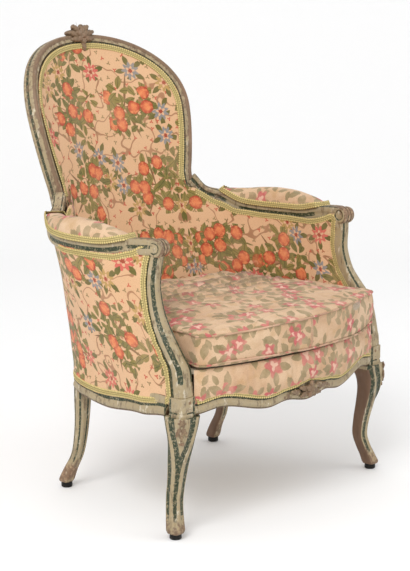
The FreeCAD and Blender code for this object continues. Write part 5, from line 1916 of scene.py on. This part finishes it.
def woven(make, colour, amount):
    """Threads of the cloth, as a bump and a slight change of colour."""
    uv = make.uv()
    warp = make.noise(uv, 1300, 1, 0.5, (1.0, 0.25, 1.0))
    weft = make.noise(uv, 1300, 1, 0.5, (0.25, 1.0, 1.0))
    threads = make.plus(warp, weft)
    make.bump(make.times_plus(make.noise(make.place(), 45, 3), 2.2, threads), amount, 0.0011)
    make.shader.inputs["Sheen Weight"].default_value = 0.15
    make.shader.inputs["Specular IOR Level"].default_value = 0.2
    dark = make.mix(0.6, colour, (0.30, 0.20, 0.12), "MULTIPLY")
    return make.mix(make.ramp(threads, 0.75, 1.0, 0.4, 0.0), colour, dark)


# Size, seed and scatter of the cells that the boughs of fruit grow from
BOUGHS = (0.172, 1.4, 0.42)


def print_cloth():
    """Peach cotton with boughs of round coral fruit, olive leaves, blossoms and sprigs."""
    make = Nodes("print_cloth")
    uv = make.uv()
    broad = make.noise(make.place(), 9, 3)
    colour = make.mix(broad, (0.74, 0.47, 0.28), (0.62, 0.37, 0.20))
    olive = make.mix(make.noise(uv, 70, 3), (0.20, 0.16, 0.04), (0.075, 0.08, 0.022))
    line = make.math("ABSOLUTE", make.minus(make.noise(uv, 13, 1.5), 0.5))
    colour = make.mix(make.ramp(line, 0.014, 0.007, 0.0, 0.8), colour, (0.30, 0.13, 0.06))
    radius, angle, first, _, _ = cells(make, 0.023, 3.1, 0.95)
    sprig = petals(make, wobbled(make, radius, 0.003), angle, 3, 0.0048, 0.4)
    tint = make.mix(make.ramp(first, 0.4, 0.45), (0.50, 0.09, 0.05), (0.28, 0.19, 0.08))
    colour = painted(make, colour, sprig, tint)
    bough, turn = cells(make, *BOUGHS)[:2]
    radius, angle, first, _, middle = cells(make, 0.066, 7.7, 0.85)
    tree = cells(make, *BOUGHS, middle)[0]
    clear = make.ramp(tree, 0.074, 0.076)
    radius = wobbled(make, radius, 0.006)
    leaf, _ = leaves(make, radius, angle, 5, 0.010, 0.037, 0.0062)
    colour = painted(make, colour, leaf, olive, clear)
    aster = make.ramp(first, 0.30, 0.31)
    gold = make.ramp(first, 0.62, 0.63)
    rich = make.mix(make.noise(uv, 220, 3), (0.52, 0.06, 0.05), (0.66, 0.20, 0.14))
    slate = make.mix(make.noise(uv, 220, 3), (0.16, 0.17, 0.18), (0.33, 0.30, 0.27))
    tan = make.mix(make.noise(uv, 220, 3), (0.36, 0.22, 0.07), (0.54, 0.34, 0.12))
    tint = make.mix(gold, make.mix(aster, rich, slate), tan)
    blossom = (
        (9, 0.0205, 0.2, tint),
        (5, 0.0110, 0.25, (0.68, 0.40, 0.24)),
        (7, 0.0055, 0.15, (0.33, 0.06, 0.03)),
    )
    for count, reach, notch, tint in blossom:
        colour = painted(make, colour, petals(make, radius, angle, count, reach, notch), tint, clear)
    stalk, _ = leaves(make, wobbled(make, bough, 0.008), turn, 5, -0.01, 0.08, 0.0034)
    colour = painted(make, colour, stalk, (0.21, 0.11, 0.045))
    for size, seed, fruit_share in ((0.052, 12.3, 0.35), (0.041, 5.9, 0.78)):
        radius, angle, first, second, middle = cells(make, size, seed, 0.8)
        tree = cells(make, *BOUGHS, middle)[0]
        near = make.ramp(tree, 0.062, 0.061)
        close = make.ramp(tree, 0.060, 0.059)
        radius = wobbled(make, radius, 0.004)
        leaf, vein = leaves(make, radius, angle, 5, 0.004, 0.038, 0.0078, second)
        green = make.mix(make.ramp(second, 0.45, 0.55), (0.20, 0.155, 0.04), (0.075, 0.085, 0.025))
        green = make.mix(make.noise(uv, 160, 2), green, (0.27, 0.215, 0.06))
        colour = painted(make, colour, leaf, green, near)
        colour = painted(make, colour, vein, (0.055, 0.06, 0.02), near)
        ripe = make.times(close, make.ramp(first, fruit_share, fruit_share - 0.01))
        rim = petals(make, radius, angle, 2, 0.0160, 0.03)
        colour = painted(make, colour, rim, (0.30, 0.05, 0.02), ripe)
        skin = make.mix(make.ramp(radius, 0.003, 0.0145), (0.70, 0.20, 0.08), (0.42, 0.055, 0.03))
        skin = make.mix(make.ramp(make.noise(uv, 120, 2), 0.4, 0.7), skin, (0.74, 0.26, 0.10))
        colour = painted(make, colour, petals(make, radius, angle, 2, 0.0147, 0.03), skin, ripe)
    faded = make.ramp(make.noise(make.place(), 14, 4), 0.35, 0.75, 0.0, 0.18)
    colour = make.mix(faded, colour, (0.68, 0.45, 0.28))
    colour = woven(make, colour, 0.4)
    return make.finish(colour, 0.88)


def rose_cloth(name, ground, shade):
    """Faded cream cotton with crimson flowers and brown-green leaves, and painted shade along the cushion's
    creases.
    """
    make = Nodes(name)
    uv = make.uv()
    crease_and_shade = make.attribute("crease_and_shade")
    frayed = make.attribute("frayed")
    broad = make.noise(make.place(), 14, 4)
    colour = make.mix(make.ramp(broad, 0.3, 0.7), ground, shade)
    ochre = make.ramp(make.noise(uv, 24, 3), 0.52, 0.68, 0.0, 0.6)
    colour = make.mix(ochre, colour, (0.50, 0.30, 0.13))
    for size, seed, reach in ((0.088, 9.2, 0.046), (0.062, 2.2, 0.034)):
        radius, angle, first, second, _ = cells(make, size, seed, 0.9)
        radius = wobbled(make, radius, 0.009)
        leaf, _ = leaves(make, radius, angle, 5, reach * 0.2, reach, reach * 0.2, second)
        tint = make.mix(make.noise(uv, 130, 3), (0.17, 0.13, 0.05), (0.34, 0.27, 0.14))
        colour = painted(make, colour, leaf, tint, 0.85)
        bloom = make.ramp(first, 0.62, 0.60, 0.0, 0.9)
        rose = make.mix(make.noise(uv, 260, 3), (0.44, 0.035, 0.06), (0.62, 0.17, 0.16))
        for count, share, notch, tint in ((5, 0.55, 0.2, rose), (3, 0.26, 0.3, (0.78, 0.50, 0.38))):
            flower = petals(make, radius, angle, count, reach * share, notch, 0.0016)
            colour = painted(make, colour, flower, tint, bloom)
    faded = make.ramp(make.noise(make.place(), 26, 4), 0.35, 0.7, 0.0, 0.4)
    colour = make.mix(faded, colour, ground)
    # Painted shade: brown streaks laid along the cushion's creases.
    streak = make.noise(make.place(), 60, 4, 0.6, (0.35, 1.6, 1.0))
    dark = make.times(make.ramp(crease_and_shade, 0.12, 0.75), make.ramp(streak, 0.35, 0.62, 0.25, 1.0))
    colour = make.mix(make.times(dark, 0.8), colour, (0.22, 0.15, 0.09))
    tear = make.ramp(make.times(frayed, make.noise(uv, 60, 3)), 0.2, 0.3)
    threads = make.noise(uv, 900, 2, 0.5, (0.15, 1.0, 1.0))
    torn = make.mix(threads, (0.16, 0.10, 0.06), (0.70, 0.60, 0.46))
    colour = make.mix(make.times(tear, 0.85), colour, torn)
    colour = woven(make, colour, 0.5)
    return make.finish(colour, 0.9)


WOOD = painted_wood("painted_wood_worn")
BACK_WOOD = painted_wood("painted_wood_rubbed", 0.22)
BARE = plain_cloth("bare_beech", (0.16, 0.09, 0.045), (0.30, 0.19, 0.11))
CALICO = plain_cloth("calico", (0.55, 0.47, 0.33), (0.68, 0.60, 0.45))
JUTE = plain_cloth("jute", (0.33, 0.24, 0.12), (0.50, 0.38, 0.22))
BRAID = braid_cloth()
GLIDE = dark_metal()
PRINT = print_cloth()
ROSE = rose_cloth("rose_cloth", (0.68, 0.48, 0.31), (0.54, 0.33, 0.19))
WELT = rose_cloth("welt_cloth", (0.62, 0.40, 0.27), (0.42, 0.24, 0.15))

# Build the wood

finish_pair(front_leg(), "front_leg_wood", WOOD, "front_leg")
finish_pair(leg_block(), "leg_block_wood", WOOD, "front_leg")
finish_pair(arm_post(), "arm_post_wood", WOOD, "arm_post")
finish_pair(arm_rail(), "arm_rail_wood", WOOD, "arm_rail")
finish_pair(scroll(), "arm_scroll_wood", WOOD, "arm_rail")
stile, top = stile_and_crest()
finish_pair(stile, "rear_upright_stile", BACK_WOOD, "rear_upright")
finish_piece(top, "frame", BACK_WOOD, "crest_rail")
finish_pair(rear_leg(), "rear_upright_leg", WOOD, "rear_upright")
finish_pair(hidden_upright(), "rear_upright_core", WOOD, "rear_upright")
finish_piece(front_rail(), "frame", WOOD, "front_rail")
finish_pair(side_rail(), "side_rail_wood", WOOD, "side_rail")

# Build the upholstery


def declare(obj, panel, rests_on):
    """Works out a cover's flat size and its own area, and keeps neither."""
    width, length = panel.size()
    area = min(panel.area(), width * length)


def cover(panel, name, start_u, material, held, rests_on, *nodes):
    """A cover in the middle of the chair."""
    piece = finish_piece(panel.mesh(name, CLOTH, start_u), "frame", material, *nodes)
    declare(piece, panel, rests_on)


def arm_cover(panel, name, start_u, *nodes):
    """A cover of the right arm and its mirror image; gives the panel back for its braid."""
    pair = finish_pair(panel.mesh(name + "_right", CLOTH, start_u), name, PRINT, *nodes)
    for piece, rail in zip(pair, ("arm_rail_right_wood", "arm_rail_wood_left")):
        declare(piece, panel, rail)
    return panel


cover(inside_back_panel(), "inside_back_cloth", 0.013, PRINT, "stretched", "crest_rail_wood",
      "inside_back_cover", "inside_back_stuffing")
cover(outside_back_panel(), "outside_back_cloth", 0.04, PRINT, "stretched", "crest_rail_wood",
      "outside_back_cover")
inside_arm = arm_cover(inside_arm_panel(), "inside_arm_cloth", 0.0,
                       "inside_arm_cover", "inside_arm_stuffing")
outside_arm = arm_cover(outside_arm_panel(), "outside_arm_cloth", 0.2, "outside_arm_cover")
for piece in finish_pair(arm_pad(), "arm_pad", ROSE, "arm_pad_cover", "arm_pad_stuffing"):
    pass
cover(border_panel(), "front_border_cloth", 0.0, ROSE, "gathered", "front_rail_wood", "front_border")
cover(seat_deck(), "seat_deck_cloth", 0.0, CALICO, "stretched", "front_rail_wood",
      "seat_cover", "seat_stuffing")
finish_piece(cushion(), "cushion", ROSE, "cushion_cover", "cushion_filling")
for level in ("upper", "lower"):
    welt = piping("cushion_welt_" + level, level == "upper")
    finish_piece(welt, "cushion", WELT, "cushion_piping_" + level)

ARM_BRAIDS = (
    ("gimp_inside_arm", inside_arm, ((0.93, 0.976), (0.016, 0.976), (0.016, 0.1))),
    ("gimp_outside_arm", outside_arm, ((0.95, 0.022), (0.014, 0.022), (0.014, 0.976), (0.95, 0.976))),
)
for node, panel, corners in ARM_BRAIDS:
    strip = braid_on_panel(node + "_woven_right", panel, corners)
    finish_pair(strip, node + "_woven", BRAID, node)
for node, sign in (("gimp_arm_pad_outer", 1), ("gimp_arm_pad_inner", -1)):
    finish_pair(pad_edge(node + "_woven_right", sign), node + "_woven", BRAID, node)
strip = arch_braid("gimp_inside_back_woven", lambda z: pad_base(z) - 15.4, -1, 5.6, 622)
finish_piece(strip, "frame", BRAID, "gimp_inside_back")
strip = arch_braid("gimp_outside_back_woven", lambda z: outside_depth(z) + CLOTH + 0.6, 1, 8, 600)
finish_piece(strip, "frame", BRAID, "gimp_outside_back")
finish_piece(border_braid(), "frame", BRAID, "gimp_front")
finish_piece(crest_carving(), "frame", BACK_WOOD, "crest_rail")
finish_piece(apron_carving(), "frame", WOOD, "front_rail")
finish_pair(knee_carving(), "knee_carving", WOOD, "front_leg")

SLOT_MATERIALS = {
    "painted_wood": WOOD,
    "bare_wood": BARE,
    "nail_steel": GLIDE,
    "glide_metal": GLIDE,
    "gimp_braid": BRAID,
    "piping_cord": ROSE,
    "rose_fabric": ROSE,
    "print_fabric": PRINT,
    "webbing": JUTE,
    "hessian": JUTE,
    "stuffing": CALICO,
    "deck_cloth": CALICO,
}
for row in frame["record"]["subparts"]:
    node = frame["nodes"][row["node"]]
    node.data.materials.clear()
    node.data.materials.append(SLOT_MATERIALS[row["material_slot"]])

add_camera()
add_stage()
add_light("key", (-2900, -1300, 3300), (0, 0, 450), 2000, 96)
add_light("fill", (1800, -3000, 2300), (0, 0, 450), 2400, 18)
